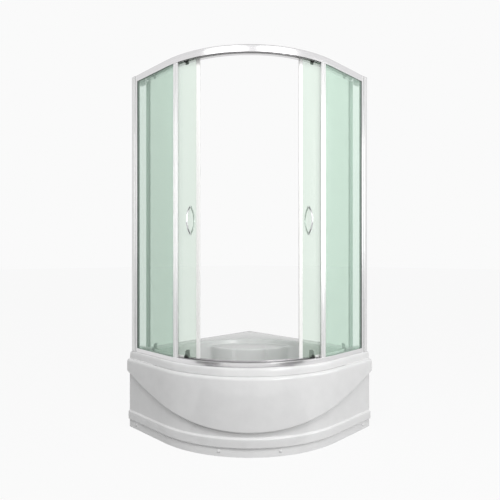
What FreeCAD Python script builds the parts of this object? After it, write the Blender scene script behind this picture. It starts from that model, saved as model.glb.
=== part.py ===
"""Quadrant shower enclosure on a deep tray: fixed curved panels, two sliding doors, wall channels.

The row frame has +Z up, its origin on the floor under the middle of the square footprint, the
square corner at (-X, +Y) and the curved front facing (+X, -Y).  Most pieces are drawn in the
front frame: origin on the axis of the curved front, x to the right and y towards the corner.
"""

import FreeCAD, Part
import math
import os

import Sketcher

V = FreeCAD.Vector
Placement = FreeCAD.Placement
Rotation = FreeCAD.Rotation
UP = V(0, 0, 1)

doc = FreeCAD.newDocument("shower_enclosure")


# ---------------------------------------------------------------- driving dimensions

class Size(float):
    """A number that remembers the sheet expression it stands for."""

    def __new__(cls, value, text):
        size = float.__new__(cls, value)
        size.text = text
        return size

    def __add__(self, other):
        return Size(float(self) + float(other), f"({self.text} + {text_of(other)})")

    def __radd__(self, other):
        return Size(float(other) + float(self), f"({text_of(other)} + {self.text})")

    def __sub__(self, other):
        return Size(float(self) - float(other), f"({self.text} - {text_of(other)})")

    def __rsub__(self, other):
        return Size(float(other) - float(self), f"({text_of(other)} - {self.text})")

    def __mul__(self, other):
        return Size(float(self) * float(other), f"({self.text} * {text_of(other)})")

    __rmul__ = __mul__

    def __truediv__(self, other):
        return Size(float(self) / float(other), f"({self.text} / {text_of(other)})")

    def __neg__(self):
        return Size(-float(self), f"(-{self.text})")


def text_of(number):
    """The expression text of a Size, or the plain digits of a number."""
    return number.text if isinstance(number, Size) else f"{float(number):.6f}"


def root(size):
    """Square root of a Size."""
    return Size(math.sqrt(size), f"sqrt({size.text})")


def sine(angle):
    """Sine of an angle in degrees."""
    return Size(math.sin(math.radians(angle)), f"sin({text_of(angle)} * 1 deg)")


def cosine(angle):
    """Cosine of an angle in degrees."""
    return Size(math.cos(math.radians(angle)), f"cos({text_of(angle)} * 1 deg)")


DIMENSIONS = {
    # footprint and the concentric front
    "half_footprint": 481.0,
    "flat_length": 330.0,
    "rail_face_radius": 600.0,
    "rail_back_radius": 538.0,
    "tray_lip_radius": 613.5,
    "apron_radius": 615.0,
    "ledge_radius": 623.0,
    "belly_radius": 632.0,
    # heights
    "total_height": 1950.0,
    "top_rail_height": 35.0,
    "rail_seat_z": 418.0,
    "bottom_rail_height": 22.7,
    "track_z": 1926.0,
    "lower_track_z": 434.2,
    "corner_ledge_z": 428.0,
    "seat_z": 399.0,
    "basin_floor_z": 130.0,
    "tray_lip_z": 381.0,
    # sheet, wall and glass thicknesses
    "rail_wall": 1.6,
    "glass_thickness": 5.0,
    "tray_wall": 5.0,
    "apron_wall": 4.0,
    # radial layout of the rails, all measured on the curved front
    "divider_radius": 588.0,
    "fixed_glass_radius": 591.3,
    "door_glass_radius": 570.0,
    "wheel_path_radius": 549.3,
    "track_edge_radius": 558.0,
    # vertical edges of the panels and doors, degrees from the middle of the front
    "fixed_edge_angle": 36.8,
    "fixed_edge_width_angle": 3.1,
    "seal_gap_angle": 0.3,
    "magnetic_seal_angle": 1.9,
    "door_end_angle": 45.5,
    "trailing_seal_angle": 2.9,
    "leading_wheel_angle": 8.1,
    "trailing_wheel_angle": 35.5,
    "open_wheel_angle": 33.4,
    "handle_angle": 5.8,
    # door glass
    "door_bottom_z": 444.5,
    "door_top_z": 1922.0,
    # wheels
    "wheel_radius": 9.5,
    "wheel_width": 3.2,
    "axle_radius": 2.5,
    "running_gap": 0.3,
    "bore_gap": 0.06,
    # handles
    "handle_z": 1126.0,
    "handle_span": 132.0,
    "handle_height": 30.0,
    "handle_rod_radius": 4.5,
    # wall channel and panel stile
    "channel_depth": 30.0,
    "stile_reach": 50.0,
    "channel_outer": 931.0,
    "channel_inner": 913.0,
    "wall_screw_pitch": 440.0,
    "wall_screw_first_z": 504.0,
    "wall_screw_radius": 2.5,
    # tray basin
    "side_ledge": 95.0,
    "back_curve_centre": 780.0,
    "seat_curve_centre": 234.0,
    "seat_radius": 285.0,
    "seat_half_width": 238.0,
    "basin_front_radius": 530.0,
    "basin_corner_radius": 60.0,
    "basin_draft": 4.0,
    "drain_y": -330.0,
    "drain_radius": 45.0,
    # apron
    "swoosh_radius": 1300.0,
    "swoosh_half_width": 720.0,
    "swoosh_low_z": 120.5,
    "ledge_top_z": 91.5,
    "ledge_bottom_z": 47.0,
    "cap_z": 26.0,
    # support frame
    "tube_side": 25.0,
    "frame_top_z": 125.0,
    "leg_radius": 6.0,
    # waste outlet
    "outlet_radius": 20.0,
}


class Sheet:
    """The document's spreadsheet; each driving dimension is an attribute."""

    def __init__(self):
        self.sheet = doc.addObject("Spreadsheet::Sheet", "Dimensions")
        for row, (name, value) in enumerate(DIMENSIONS.items(), 1):
            self.sheet.set(f"A{row}", name.replace("_", " "))
            self.sheet.set(f"B{row}", str(value))
            self.sheet.setAlias(f"B{row}", name)
            setattr(self, name, Size(value, f"Dimensions.{name}"))


dim = Sheet()
doc.recompute()

HALF = Size(math.sqrt(0.5), "cos(45 * 1 deg)")
CORNER_Y = dim.flat_length * HALF * 2
TOP_RAIL_Z = dim.total_height - dim.top_rail_height
RAIL_TOP_Z = dim.rail_seat_z + dim.bottom_rail_height
FRONT_X = float(dim.flat_length - dim.half_footprint)
FRONT = Placement(V(FRONT_X, -FRONT_X, 0), Rotation(UP, 45))
LEFT_WALL = Placement(V(-dim.half_footprint, dim.half_footprint, 0), Rotation())
ORIGIN = (0.0, 0.0)


def turned(angle, base=V(0, 0, 0)):
    """A turn of angle degrees about a vertical line through base."""
    return Placement(V(0, 0, 0), Rotation(UP, angle), base)


def door_rest():
    """Where the closed left door goes when it stands open, as a move in the front frame.

    Both wheels stay on the track: the leading one on the arc, the trailing one on the straight.
    """
    radius = float(dim.wheel_path_radius)
    lead = V(*on_arc(radius, dim.leading_wheel_angle), 0)
    trail = V(*on_arc(radius, dim.trailing_wheel_angle), 0)
    open_lead = V(*on_arc(radius, dim.open_wheel_angle), 0)
    bend = V(*on_arc(radius, 45.0), 0)
    along = V(-HALF, HALF, 0)
    offset = bend - open_lead
    half_b = offset.dot(along)
    rest_c = offset.dot(offset) - (trail - lead).dot(trail - lead)
    run = -half_b + math.sqrt(half_b ** 2 - rest_c)
    open_trail = bend + along * run
    before, after = trail - lead, open_trail - open_lead
    turn = math.degrees(math.atan2(after.y, after.x) - math.atan2(before.y, before.x))
    spin = Rotation(UP, turn)
    return Placement(open_lead - spin.multVec(lead), spin)


# ---------------------------------------------------------------- plan geometry

def on_arc(radius, angle):
    """Point of the curved front, angle degrees to the left of its middle."""
    return (-(radius * sine(angle)), -(radius * cosine(angle)))


def on_flat(radius, from_wall):
    """Point of the left straight run of a concentric line, from_wall from the left wall."""
    run = dim.flat_length - from_wall
    return (-((radius + run) * HALF), (run - radius) * HALF)


def from_walls(left, right):
    """Point at these distances from the left and the right wall."""
    return ((left - right) * HALF, CORNER_Y - (left + right) * HALF)


def mirror_x(point):
    """The point's twin on the other side of the middle of the front."""
    return (-point[0], point[1])


# ---------------------------------------------------------------- modelling helpers

def new_body(name, placement=FRONT):
    """An empty body with its label and place."""
    body = doc.addObject("PartDesign::Body", name)
    body.Label = name
    body.Placement = placement
    return body


def bind(item, attribute, value):
    """Set a property, and tie it to the sheet when the value is a Size."""
    setattr(item, attribute, float(value))
    if isinstance(value, Size):
        item.setExpression(attribute, value.text)


def sketch_on(body, role, lift=0.0):
    """A sketch on one of the body's own origin planes, lifted along its normal."""
    sketch = body.newObject("Sketcher::SketchObject", "sketch")
    plane = next(item for item in body.Origin.OriginFeatures if item.Role == role)
    sketch.AttachmentSupport = [(plane, "")]
    sketch.MapMode = "FlatFace"
    sketch.AttachmentOffset = Placement(V(0, 0, float(lift)), Rotation())
    if isinstance(lift, Size):
        sketch.setExpression("AttachmentOffset.Base.z", lift.text)
    return sketch


def constrain(sketch, kind, *values):
    """Add a constraint whose last value is a number, tied to the sheet when it is a Size."""
    index = sketch.addConstraint(Sketcher.Constraint(kind, *values[:-1], float(values[-1])))
    if isinstance(values[-1], Size):
        sketch.setExpression(f"Constraints[{index}]", values[-1].text)


def draw_loop(sketch, corners, arcs=None):
    """Closed outline through the corners; arcs maps an edge's number to (centre, radius)."""
    arcs = arcs or {}
    ends = []
    for number, start in enumerate(corners):
        stop = corners[(number + 1) % len(corners)]
        first, last = V(*map(float, start), 0), V(*map(float, stop), 0)
        if number not in arcs:
            edge = sketch.addGeometry(Part.LineSegment(first, last))
            ends.append((edge, 1, 2))
            continue
        centre, radius = arcs[number]
        middle = V(*map(float, centre), 0)
        ahead = (first - middle).cross(last - middle).z > 0
        low, high = (first, last) if ahead else (last, first)
        angles = [math.atan2(p.y - middle.y, p.x - middle.x) for p in (low, high)]
        if angles[1] < angles[0]:
            angles[1] += 2 * math.pi
        circle = Part.Circle(middle, UP, float(radius))
        edge = sketch.addGeometry(Part.ArcOfCircle(circle, *angles))
        ends.append((edge, 1, 2) if ahead else (edge, 2, 1))
    for number, (edge, start, _) in enumerate(ends):
        before, _, stop = ends[number - 1]
        sketch.addConstraint(Sketcher.Constraint("Coincident", before, stop, edge, start))
        constrain(sketch, "DistanceX", -1, 1, edge, start, corners[number][0])
        constrain(sketch, "DistanceY", -1, 1, edge, start, corners[number][1])
        if number in arcs:
            constrain(sketch, "Radius", edge, arcs[number][1])
    return sketch


def draw_circle(sketch, centre, radius):
    """A full circle with its centre and radius tied down."""
    circle = Part.Circle(V(*map(float, centre), 0), UP, float(radius))
    edge = sketch.addGeometry(circle)
    constrain(sketch, "DistanceX", -1, 1, edge, 3, centre[0])
    constrain(sketch, "DistanceY", -1, 1, edge, 3, centre[1])
    constrain(sketch, "Radius", edge, radius)
    return sketch


def pad(body, sketch, length, reverse=False, draft=0.0):
    """Extrude a sketch along its normal."""
    feature = body.newObject("PartDesign::Pad", "pad")
    feature.Profile = sketch
    bind(feature, "Length", length)
    feature.Reversed = reverse
    if draft:
        bind(feature, "TaperAngle", draft)
    return feature


def pocket(body, sketch, length, reverse=False):
    """Cut a sketch into the body; the volume must drop."""
    doc.recompute()
    before = body.Shape.Volume
    feature = body.newObject("PartDesign::Pocket", "pocket")
    feature.Profile = sketch
    bind(feature, "Length", length)
    feature.Reversed = reverse
    doc.recompute()
    if body.Shape.Volume > before - 0.01:
        raise RuntimeError(f"{body.Label}: a pocket cuts nothing")
    return feature


def edges_where(shape, test):
    """Names of the edges whose middle point passes the test."""
    names = []
    for number, edge in enumerate(shape.Edges, 1):
        middle = edge.valueAt((edge.FirstParameter + edge.LastParameter) / 2)
        if test(edge, middle):
            names.append(f"Edge{number}")
    return names


def ease(body, size, test):
    """Bevel the edges that pass the test, given in the body's own frame."""
    doc.recompute()
    base = body.Tip
    names = edges_where(base.Shape, test)
    feature = body.newObject("PartDesign::Chamfer", "chamfer")
    feature.Base = (base, names)
    bind(feature, "Size", size)
    return feature


def mirror_front(body, feature):
    """Repeat a feature on the other side of the front's middle."""
    twin = body.newObject("PartDesign::Mirrored", "mirrored")
    twin.Originals = [feature]
    plane = next(item for item in body.Origin.OriginFeatures if item.Role == "YZ_Plane")
    twin.MirrorPlane = (plane, [""])
    body.Tip = twin
    return twin


def sweep(body, profile, spine):
    """Push a profile along a spine sketch."""
    feature = body.newObject("PartDesign::AdditivePipe", "sweep")
    feature.Profile = profile
    feature.Spine = (spine, [])
    return feature


def front_spine(body, radius, from_wall):
    """Half of the front's line: an arc from the middle, then the straight run to the left wall."""
    sketch = sketch_on(body, "XY_Plane")
    bend = on_arc(radius, 45.0)
    stop = on_flat(radius, from_wall)
    circle = Part.Circle(V(0, 0, 0), UP, float(radius))
    arc = sketch.addGeometry(Part.ArcOfCircle(circle, math.radians(225), math.radians(270)))
    line = sketch.addGeometry(Part.LineSegment(V(*bend, 0), V(*stop, 0)))
    sketch.addConstraint(Sketcher.Constraint("Coincident", arc, 1, line, 1))
    constrain(sketch, "Radius", arc, radius)
    constrain(sketch, "DistanceX", -1, 1, line, 1, bend[0])
    constrain(sketch, "DistanceY", -1, 1, line, 1, bend[1])
    constrain(sketch, "DistanceX", -1, 1, line, 2, stop[0])
    constrain(sketch, "DistanceY", -1, 1, line, 2, stop[1])
    return sketch


def bent_section(name, section, spine_radius, from_wall):
    """A constant section, given as (radius, z) corners, bent along the whole front."""
    body = new_body(name)
    spine = front_spine(body, spine_radius, from_wall)
    profile = sketch_on(body, "YZ_Plane")
    draw_loop(profile, [(-radius, z) for radius, z in section])
    mirror_front(body, sweep(body, profile, spine))
    return body


def arc_band(body, inner, outer, start, stop, low, height):
    """A curved wall between two radii and two angles."""
    corners = [on_arc(outer, start), on_arc(outer, stop), on_arc(inner, stop), on_arc(inner, start)]
    sketch = sketch_on(body, "XY_Plane", low)
    draw_loop(sketch, corners, {0: (ORIGIN, outer), 2: (ORIGIN, inner)})
    return pad(body, sketch, height)


def panel_loop(sketch, inner, outer, start, from_wall):
    """Plan of a wall that follows the arc from start and then the straight run."""
    corners = [
        on_arc(outer, start),
        on_arc(outer, 45.0),
        on_flat(outer, from_wall),
        on_flat(inner, from_wall),
        on_arc(inner, 45.0),
        on_arc(inner, start),
    ]
    return draw_loop(sketch, corners, {0: (ORIGIN, outer), 4: (ORIGIN, inner)})


def cut(name, base, tool):
    """Base minus tool."""
    result = doc.addObject("Part::Cut", name)
    result.Base = base
    result.Tool = tool
    result.Label = name
    return result


def fuse(name, pieces):
    """One solid of several overlapping ones."""
    result = doc.addObject("Part::MultiFuse", name)
    result.Shapes = pieces
    result.Label = name
    return result


def group(name, pieces):
    """Separate solids that share one node."""
    result = doc.addObject("Part::Compound", name)
    result.Links = pieces
    result.Label = name
    return result


def mirrored(name, source):
    """The right-hand twin of a left-hand piece, across the diagonal of the footprint."""
    twin = doc.addObject("Part::Mirroring", name)
    twin.Source = source
    twin.Normal = V(1, 1, 0)
    twin.Base = V(0, 0, 0)
    twin.Label = name
    return twin


def box(name, size, placement):
    """A block centred on its place in x and y, standing on it in z."""
    block = doc.addObject("Part::Box", name)
    for attribute, value in zip(("Length", "Width", "Height"), size):
        bind(block, attribute, value)
    block.Placement = placement.multiply(Placement(V(-size[0] / 2, -size[1] / 2, 0), Rotation()))
    return block


def cylinder(name, radius, height, placement):
    """A round bar along its place's z axis."""
    bar = doc.addObject("Part::Cylinder", name)
    bind(bar, "Radius", radius)
    bind(bar, "Height", height)
    bar.Placement = placement
    return bar


def revolved(name, placement, section):
    """A body turned about its own z axis from (radius, z) corners."""
    body = new_body(name, placement)
    profile = sketch_on(body, "XZ_Plane")
    draw_loop(profile, section)
    feature = body.newObject("PartDesign::Revolution", "turn")
    feature.Profile = profile
    axis = next(item for item in body.Origin.OriginFeatures if item.Role == "Z_Axis")
    feature.ReferenceAxis = (axis, [""])
    feature.Angle = 360
    return body


nodes = []


def keep(*pieces):
    """Record finished sub-parts; each is written under its label."""
    nodes.extend(pieces)


def keep_pair(stem, left):
    """Record a left piece and its mirrored right twin."""
    left.Label = f"{stem}_left"
    keep(left, mirrored(f"{stem}_right", left))


# ---------------------------------------------------------------- tray

def tray_outline(sketch, radius, wall_gap):
    """The tray's plan: two straight wall edges, two short fronts and the arc."""
    reach = radius + dim.flat_length
    corners = [
        from_walls(wall_gap, wall_gap),
        from_walls(wall_gap, reach),
        from_walls(dim.flat_length, reach),
        from_walls(reach, dim.flat_length),
        from_walls(reach, wall_gap),
    ]
    return draw_loop(sketch, corners, {2: (ORIGIN, radius)})


def basin_form(name, grow, top_z, floor_z):
    """The deep part of the basin as a tapered solid, grown by a wall thickness."""
    body = new_body(name)
    side = dim.side_ledge - grow
    front = dim.basin_front_radius + grow
    back_centre, seat_centre = dim.back_curve_centre, dim.seat_curve_centre
    back_radius = back_centre * HALF - side
    seat_radius = dim.seat_radius - grow
    squares = back_centre * back_centre - seat_centre * seat_centre
    meet_v = (squares - back_radius * back_radius + seat_radius * seat_radius) / (
        (back_centre - seat_centre) * 2
    )
    rise = meet_v - seat_centre
    meet_u = root(seat_radius * seat_radius - rise * rise)
    reach = front + dim.flat_length
    corner = dim.basin_corner_radius + grow
    seat_end = (-meet_u, CORNER_Y - meet_v)
    side_start = (-(back_radius * HALF), CORNER_Y - back_centre + back_radius * HALF)
    turn_start = from_walls(side, reach - corner)
    turn_stop = from_walls(side + corner, reach)
    bend = from_walls(dim.flat_length, reach)
    turn_centre = from_walls(side + corner, reach - corner)
    back_axis = (0.0, CORNER_Y - back_centre)
    seat_axis = (0.0, CORNER_Y - seat_centre)
    left = [seat_end, side_start, turn_start, turn_stop, bend]
    corners = left + [mirror_x(point) for point in reversed(left)]
    arcs = {
        0: (back_axis, back_radius),
        2: (turn_centre, corner),
        4: (ORIGIN, front),
        6: (mirror_x(turn_centre), corner),
        8: (back_axis, back_radius),
        9: (seat_axis, seat_radius),
    }
    sketch = sketch_on(body, "XY_Plane", top_z)
    draw_loop(sketch, corners, arcs)
    pad(body, sketch, top_z - floor_z, reverse=True, draft=-dim.basin_draft)
    ease(body, 28.0, lambda edge, middle: abs(middle.z - floor_z) < 0.5)
    return body


def seat_form(name, grow, top_z, floor_z):
    """The shallow part of the basin over the corner seat."""
    body = new_body(name)
    back_centre = dim.back_curve_centre
    radius = back_centre * HALF - dim.side_ledge + grow
    half_width = dim.seat_half_width + grow
    back_v = back_centre - root(radius * radius - half_width * half_width)
    seat_end = (-half_width, CORNER_Y - back_v)
    front_end = (-150.0, CORNER_Y - 520.0)
    corners = [seat_end, front_end, mirror_x(front_end), mirror_x(seat_end)]
    sketch = sketch_on(body, "XY_Plane", floor_z)
    draw_loop(sketch, corners, {3: ((0.0, CORNER_Y - back_centre), radius)})
    pad(body, sketch, top_z - floor_z)
    return body


def build_tray():
    """Acrylic tray: rim with a turned-down lip, raised wall ledges, seat and deep basin."""
    wall = dim.tray_wall
    rim = new_body("tray_rim")
    pad(rim, tray_outline(sketch_on(rim, "XY_Plane", dim.tray_lip_z), dim.tray_lip_radius, 0.0),
        dim.rail_seat_z - dim.tray_lip_z)
    pocket(rim, tray_outline(sketch_on(rim, "XY_Plane", dim.tray_lip_z), dim.tray_lip_radius - wall, wall),
           dim.rail_seat_z - dim.tray_lip_z - wall, reverse=True)
    reach = dim.basin_front_radius + dim.flat_length
    ledge = [(0.0, 0.0), (0.0, reach), (120.0, reach), (120.0, 560.0),
             (560.0, 120.0), (reach, 120.0), (reach, 0.0)]
    pad(rim, draw_loop(sketch_on(rim, "XY_Plane", dim.rail_seat_z - 1.0),
                       [from_walls(left, right) for left, right in ledge]),
        dim.corner_ledge_z - dim.rail_seat_z + 1.0)
    ease(rim, 3.5, lambda edge, middle: abs(middle.z - dim.rail_seat_z) < 0.1
         and math.hypot(middle.x, middle.y) > dim.tray_lip_radius - 1.0 and middle.y < -300)
    skin = basin_form("basin_skin", wall, dim.rail_seat_z - 2.0, dim.basin_floor_z - wall)
    seat_skin = seat_form("seat_skin", wall, dim.rail_seat_z - 2.0, dim.seat_z - wall)
    void = basin_form("basin_void", 0.0, dim.corner_ledge_z + 1.0, dim.basin_floor_z)
    seat_void = seat_form("seat_void", 0.0, dim.corner_ledge_z + 1.0, dim.seat_z)
    hole = cylinder("drain_hole", dim.drain_radius, 40.0,
                    FRONT.multiply(Placement(V(0, dim.drain_y, 110), Rotation())))
    shell = fuse("tray_shell", [rim, skin, seat_skin])
    voids = fuse("tray_voids", [void, seat_void, hole])
    keep(cut("shower_tray", shell, voids))


# ---------------------------------------------------------------- apron

def swoosh_form(name, inner, outer, top_z, lift):
    """The belly's plan band, kept only above the swoosh arc seen from the front."""
    body = new_body(name)
    low = dim.swoosh_low_z + lift
    sketch = sketch_on(body, "XY_Plane", dim.ledge_top_z)
    bend, stop = on_arc(outer, 45.0), on_flat(outer, 0.0)
    inner_bend, inner_stop = on_arc(inner, 45.0), on_flat(inner, 0.0)
    corners = [stop, bend, mirror_x(bend), mirror_x(stop),
               mirror_x(inner_stop), mirror_x(inner_bend), inner_bend, inner_stop]
    draw_loop(sketch, corners, {1: (ORIGIN, outer), 5: (ORIGIN, inner)})
    pad(body, sketch, top_z - dim.ledge_top_z)
    radius = dim.swoosh_radius
    half = dim.swoosh_half_width
    end_z = low + radius - root(radius * radius - half * half)
    below = sketch_on(body, "XZ_Plane", 50.0)
    draw_loop(below, [(-half, end_z), (half, end_z), (half, 20.0), (-half, 20.0)],
              {0: ((0.0, low + radius), radius)})
    pocket(body, below, 700.0, reverse=True)
    return body


def build_apron():
    """Moulded front panel: kick strip, ledge, recessed face and the belly above the swoosh."""
    face, skin = dim.apron_radius, dim.apron_wall
    ledge = dim.ledge_radius
    top = dim.tray_lip_z - 0.5
    low, high = dim.ledge_bottom_z, dim.ledge_top_z
    section = [
        (face, 0.0), (face, low - 3.0), (ledge, low), (ledge, high - 5.0), (face + 1.5, high),
        (face, high + 4.0), (face, top), (face - skin, top), (face - skin, high + 1.5),
        (ledge - skin, high - 7.0), (ledge - skin, low + 3.0), (face - skin, low - 0.5),
        (face - skin, 0.0),
    ]
    sheet = bent_section("apron_sheet", section, face, 0.0)
    belly = swoosh_form("belly_form", face - skin, dim.belly_radius, top, 0.0)
    ease(belly, 6.0, lambda edge, middle: abs(middle.z - top) < 0.1
         and edge.Length > 200 and math.hypot(middle.x, middle.y) > dim.belly_radius - 1)
    hollow = swoosh_form("belly_hollow", face - skin - 2.0, dim.belly_radius - skin, top - skin, skin)
    screws = [cylinder("apron_screw_hole", 2.7, 60.0, place.multiply(Placement(V(0, 0, -30), Rotation())))
              for place in apron_screw_places()]
    keep(cut("front_apron", fuse("apron_solid", [sheet, belly]), fuse("apron_cuts", [hollow] + screws)))


def apron_screw_places():
    """Where the four kick strip screws sit; z points out of the panel's face."""
    radius = float(dim.apron_radius)
    places = []
    for side in (-1, 1):
        places.append(front_place(side * 13.8, radius, dim.cap_z))
        spot = on_flat(radius, 71.0)
        turn = Rotation(UP, side * 45.0).multiply(Rotation(V(1, 0, 0), 90))
        places.append(FRONT.multiply(Placement(V(-side * spot[0], spot[1], dim.cap_z), turn)))
    return places


def front_place(angle, radius, z):
    """A place on the curved front whose z axis points straight out of it; +angle is to the right."""
    spot = V(radius * math.sin(math.radians(angle)), -radius * math.cos(math.radians(angle)), float(z))
    turn = Rotation(UP, angle).multiply(Rotation(V(1, 0, 0), 90))
    return FRONT.multiply(Placement(spot, turn))


def build_apron_fixings():
    """Floor brackets behind the kick strip, their screws and the snap-on caps."""
    brackets, screws, caps = [], [], []
    for number, place in enumerate(apron_screw_places(), 1):
        body = new_body(f"bracket_{number}", place)
        profile = sketch_on(body, "YZ_Plane", -15.0)
        foot, back = -float(dim.cap_z), -float(dim.apron_wall) - 0.4
        draw_loop(profile, [(foot, back), (14.0, back), (14.0, back - 2.5), (foot + 2.5, back - 2.5),
                            (foot + 2.5, back - 32.0), (foot, back - 32.0)])
        pad(body, profile, 30.0)
        doc.recompute()
        pocket(body, draw_circle(sketch_on(body, "XY_Plane", back + 1.0), ORIGIN, 2.1), 6.0)
        brackets.append(body)
        screws.append(revolved(f"apron_screw_{number}", place, [
            (0.0, -15.5), (2.0, -15.5), (2.0, 0.1), (4.0, 0.1), (4.0, 2.0), (0.0, 2.0)]))
        caps.append(revolved(f"apron_cap_{number}", place, [
            (4.4, 0.1), (8.4, 0.1), (5.4, 5.4), (0.0, 5.4), (0.0, 2.4), (4.4, 2.4)]))
    keep(group("apron_brackets", brackets), group("apron_screws", screws),
         group("apron_screw_caps", caps))


# ---------------------------------------------------------------- rails

def build_rails():
    """The two bent extrusions: top rail with its hanging track, bottom rail with its channel."""
    face, back, wall = dim.rail_face_radius, dim.rail_back_radius, dim.rail_wall
    divider, edge = dim.divider_radius, dim.track_edge_radius
    top, low = dim.total_height, TOP_RAIL_Z
    track = dim.track_z
    crown, mid_crown = 3.0, 0.9
    section = [
        (face, low), (face, top - crown), (face - mid_crown, top - mid_crown), (face - crown, top),
        (back, top), (back, track - wall), (edge, track - wall),
        (edge, track + 1.5), (edge - 1.0, track + 1.5), (edge - 1.0, track),
        (back + wall, track), (back + wall, top - wall), (divider, top - wall),
        (divider, low), (divider + wall, low), (divider + wall, top - wall * 2.5),
        (face - wall, top - wall * 2.5), (face - wall, low),
    ]
    keep(bent_section("top_rail", section, face, dim.stile_reach))
    seat, top, track = dim.rail_seat_z, RAIL_TOP_Z, dim.lower_track_z
    section = [
        (face, seat), (face, top), (face - wall, top), (face - wall, seat + 5.6),
        (divider + wall, seat + 5.6), (divider + wall, top), (divider, top), (divider, seat + wall),
        (back + wall, seat + wall), (back + wall, track - wall), (edge, track - wall), (edge, top),
        (edge - wall, top), (edge - wall, track), (back + wall, track), (back + wall, top),
        (back, top), (back, seat),
    ]
    keep(bent_section("bottom_rail", section, face, dim.stile_reach))


# ---------------------------------------------------------------- fixed panels and wall channels

def build_fixed_panels():
    """Fixed glass, its free-edge profile with the brush strip, stile, gasket and wall channel."""
    inner = dim.fixed_glass_radius
    outer = inner + dim.glass_thickness
    low, high = dim.rail_seat_z + 6.0, dim.total_height - 6.0
    edge_start = dim.fixed_edge_angle
    edge_stop = edge_start + dim.fixed_edge_width_angle
    glass = new_body("fixed_glass")
    plan = panel_loop(sketch_on(glass, "XY_Plane", low), inner, outer, edge_start + 1.2, 38.0)
    pad(glass, plan, high - low)
    keep_pair("fixed_glass", glass)

    edge = new_body("panel_edge_profile")
    arc_band(edge, inner - 1.4, outer + 1.8, edge_start, edge_stop, low, high - low)
    doc.recompute()
    slot = sketch_on(edge, "XY_Plane", low)
    bounds = (edge_start + 1.15, edge_stop + 1.0)
    draw_loop(slot, [on_arc(outer + 0.1, bounds[0]), on_arc(outer + 0.1, bounds[1]),
                     on_arc(inner - 0.1, bounds[1]), on_arc(inner - 0.1, bounds[0])],
              {0: (ORIGIN, outer + 0.1), 2: (ORIGIN, inner - 0.1)})
    pocket(edge, slot, high - low, reverse=True)
    keep_pair("panel_edge_profile", edge)

    brush = new_body("brush")
    arc_band(brush, inner - 3.9, inner - 1.45, edge_start + 0.2, edge_start + 0.7,
             RAIL_TOP_Z + 1.0, TOP_RAIL_Z - RAIL_TOP_Z - 2.0)
    keep(group("panel_brushes", [brush, mirrored("brush_twin", brush)]))

    reach, start = dim.stile_reach, 12.0
    skin = 1.5
    left, right = -(dim.channel_outer - 1.9), -(dim.channel_inner + 1.9)
    height = dim.total_height - dim.rail_seat_z
    stile = new_body("panel_stile", LEFT_WALL)
    web = reach - 14.0
    section = [
        (start, left), (reach, left), (reach, left + skin), (web, left + skin),
        (web, right - skin), (reach, right - skin), (reach, right), (start, right),
        (start, right - skin), (web - skin, right - skin), (web - skin, left + skin), (start, left + skin),
    ]
    pad(stile, draw_loop(sketch_on(stile, "XY_Plane", dim.rail_seat_z), section), height)
    keep_pair("panel_stile", stile)

    gaskets = []
    for side, near, far in (("inner", inner - 4.6, inner - 0.1), ("outer", outer + 0.1, outer + 1.2)):
        gasket = new_body(f"{side}_gasket")
        pad(gasket, panel_band(sketch_on(gasket, "XY_Plane", RAIL_TOP_Z + 0.3), near, far),
            TOP_RAIL_Z - RAIL_TOP_Z - 0.6)
        gaskets += [gasket, mirrored(f"{side}_gasket_twin", gasket)]
    keep(group("stile_gaskets", gaskets))

    channel = new_body("wall_channel", LEFT_WALL)
    depth, skin = dim.channel_depth, 1.6
    left, right = -dim.channel_outer, -dim.channel_inner
    section = [(0.0, left), (depth, left), (depth, left + skin), (skin, left + skin),
               (skin, right - skin), (depth, right - skin), (depth, right), (0.0, right)]
    pad(channel, draw_loop(sketch_on(channel, "XY_Plane", dim.rail_seat_z), section), height)
    middle = (left + right) / 2.0
    hole = draw_circle(sketch_on(channel, "YZ_Plane", -1.0), (middle, dim.wall_screw_first_z),
                       dim.wall_screw_radius)
    first_hole = pocket(channel, hole, 4.0, reverse=True)
    row = channel.newObject("PartDesign::LinearPattern", "screw_row")
    row.Originals = [first_hole]
    axis = next(item for item in channel.Origin.OriginFeatures if item.Role == "Z_Axis")
    row.Direction = (axis, [""])
    bind(row, "Length", dim.wall_screw_pitch * 3)
    row.Occurrences = 4
    channel.Tip = row
    keep_pair("wall_channel", channel)


def panel_band(sketch, inner, outer):
    """A short strip beside the fixed glass where it enters the stile."""
    start, stop = dim.stile_reach - 13.0, dim.stile_reach + 11.0
    corners = [on_flat(outer, start), on_flat(outer, stop), on_flat(inner, stop), on_flat(inner, start)]
    return draw_loop(sketch, corners)


def build_corner_blocks():
    """Blocks that carry the rails' ends on the wall channels, with their screws."""
    inner = dim.rail_back_radius + dim.flat_length
    outer = dim.channel_inner - 0.2
    blocks, screws = [], []
    for name, low, height in (("top", TOP_RAIL_Z, dim.top_rail_height),
                              ("bottom", dim.rail_seat_z, dim.bottom_rail_height)):
        body = new_body(f"{name}_corner_block", LEFT_WALL)
        reach = dim.stile_reach - 0.2
        corners = [(0.0, -outer), (reach, -outer), (reach, -inner - 8.0), (reach - 8.0, -inner),
                   (0.0, -inner)]
        pad(body, draw_loop(sketch_on(body, "XY_Plane", low), corners), height)
        middle_z = low + height / 2.0
        well = draw_circle(sketch_on(body, "XZ_Plane", inner - 1.0), (15.0, middle_z), 4.5)
        pocket(body, well, outer - inner - 5.0, reverse=True)
        place = LEFT_WALL.multiply(Placement(V(15.0, -outer + 6.2, middle_z), Rotation(V(1, 0, 0), -90)))
        screw = revolved(f"{name}_corner_screw", place, [(0.0, 0.0), (3.8, 0.0), (2.6, 2.4), (0.0, 2.4)])
        blocks += [body, mirrored(f"{name}_corner_twin", body)]
        screws += [screw, mirrored(f"{name}_screw_twin", screw)]
    keep(group("rail_corner_blocks", blocks), group("rail_screws", screws))


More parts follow.
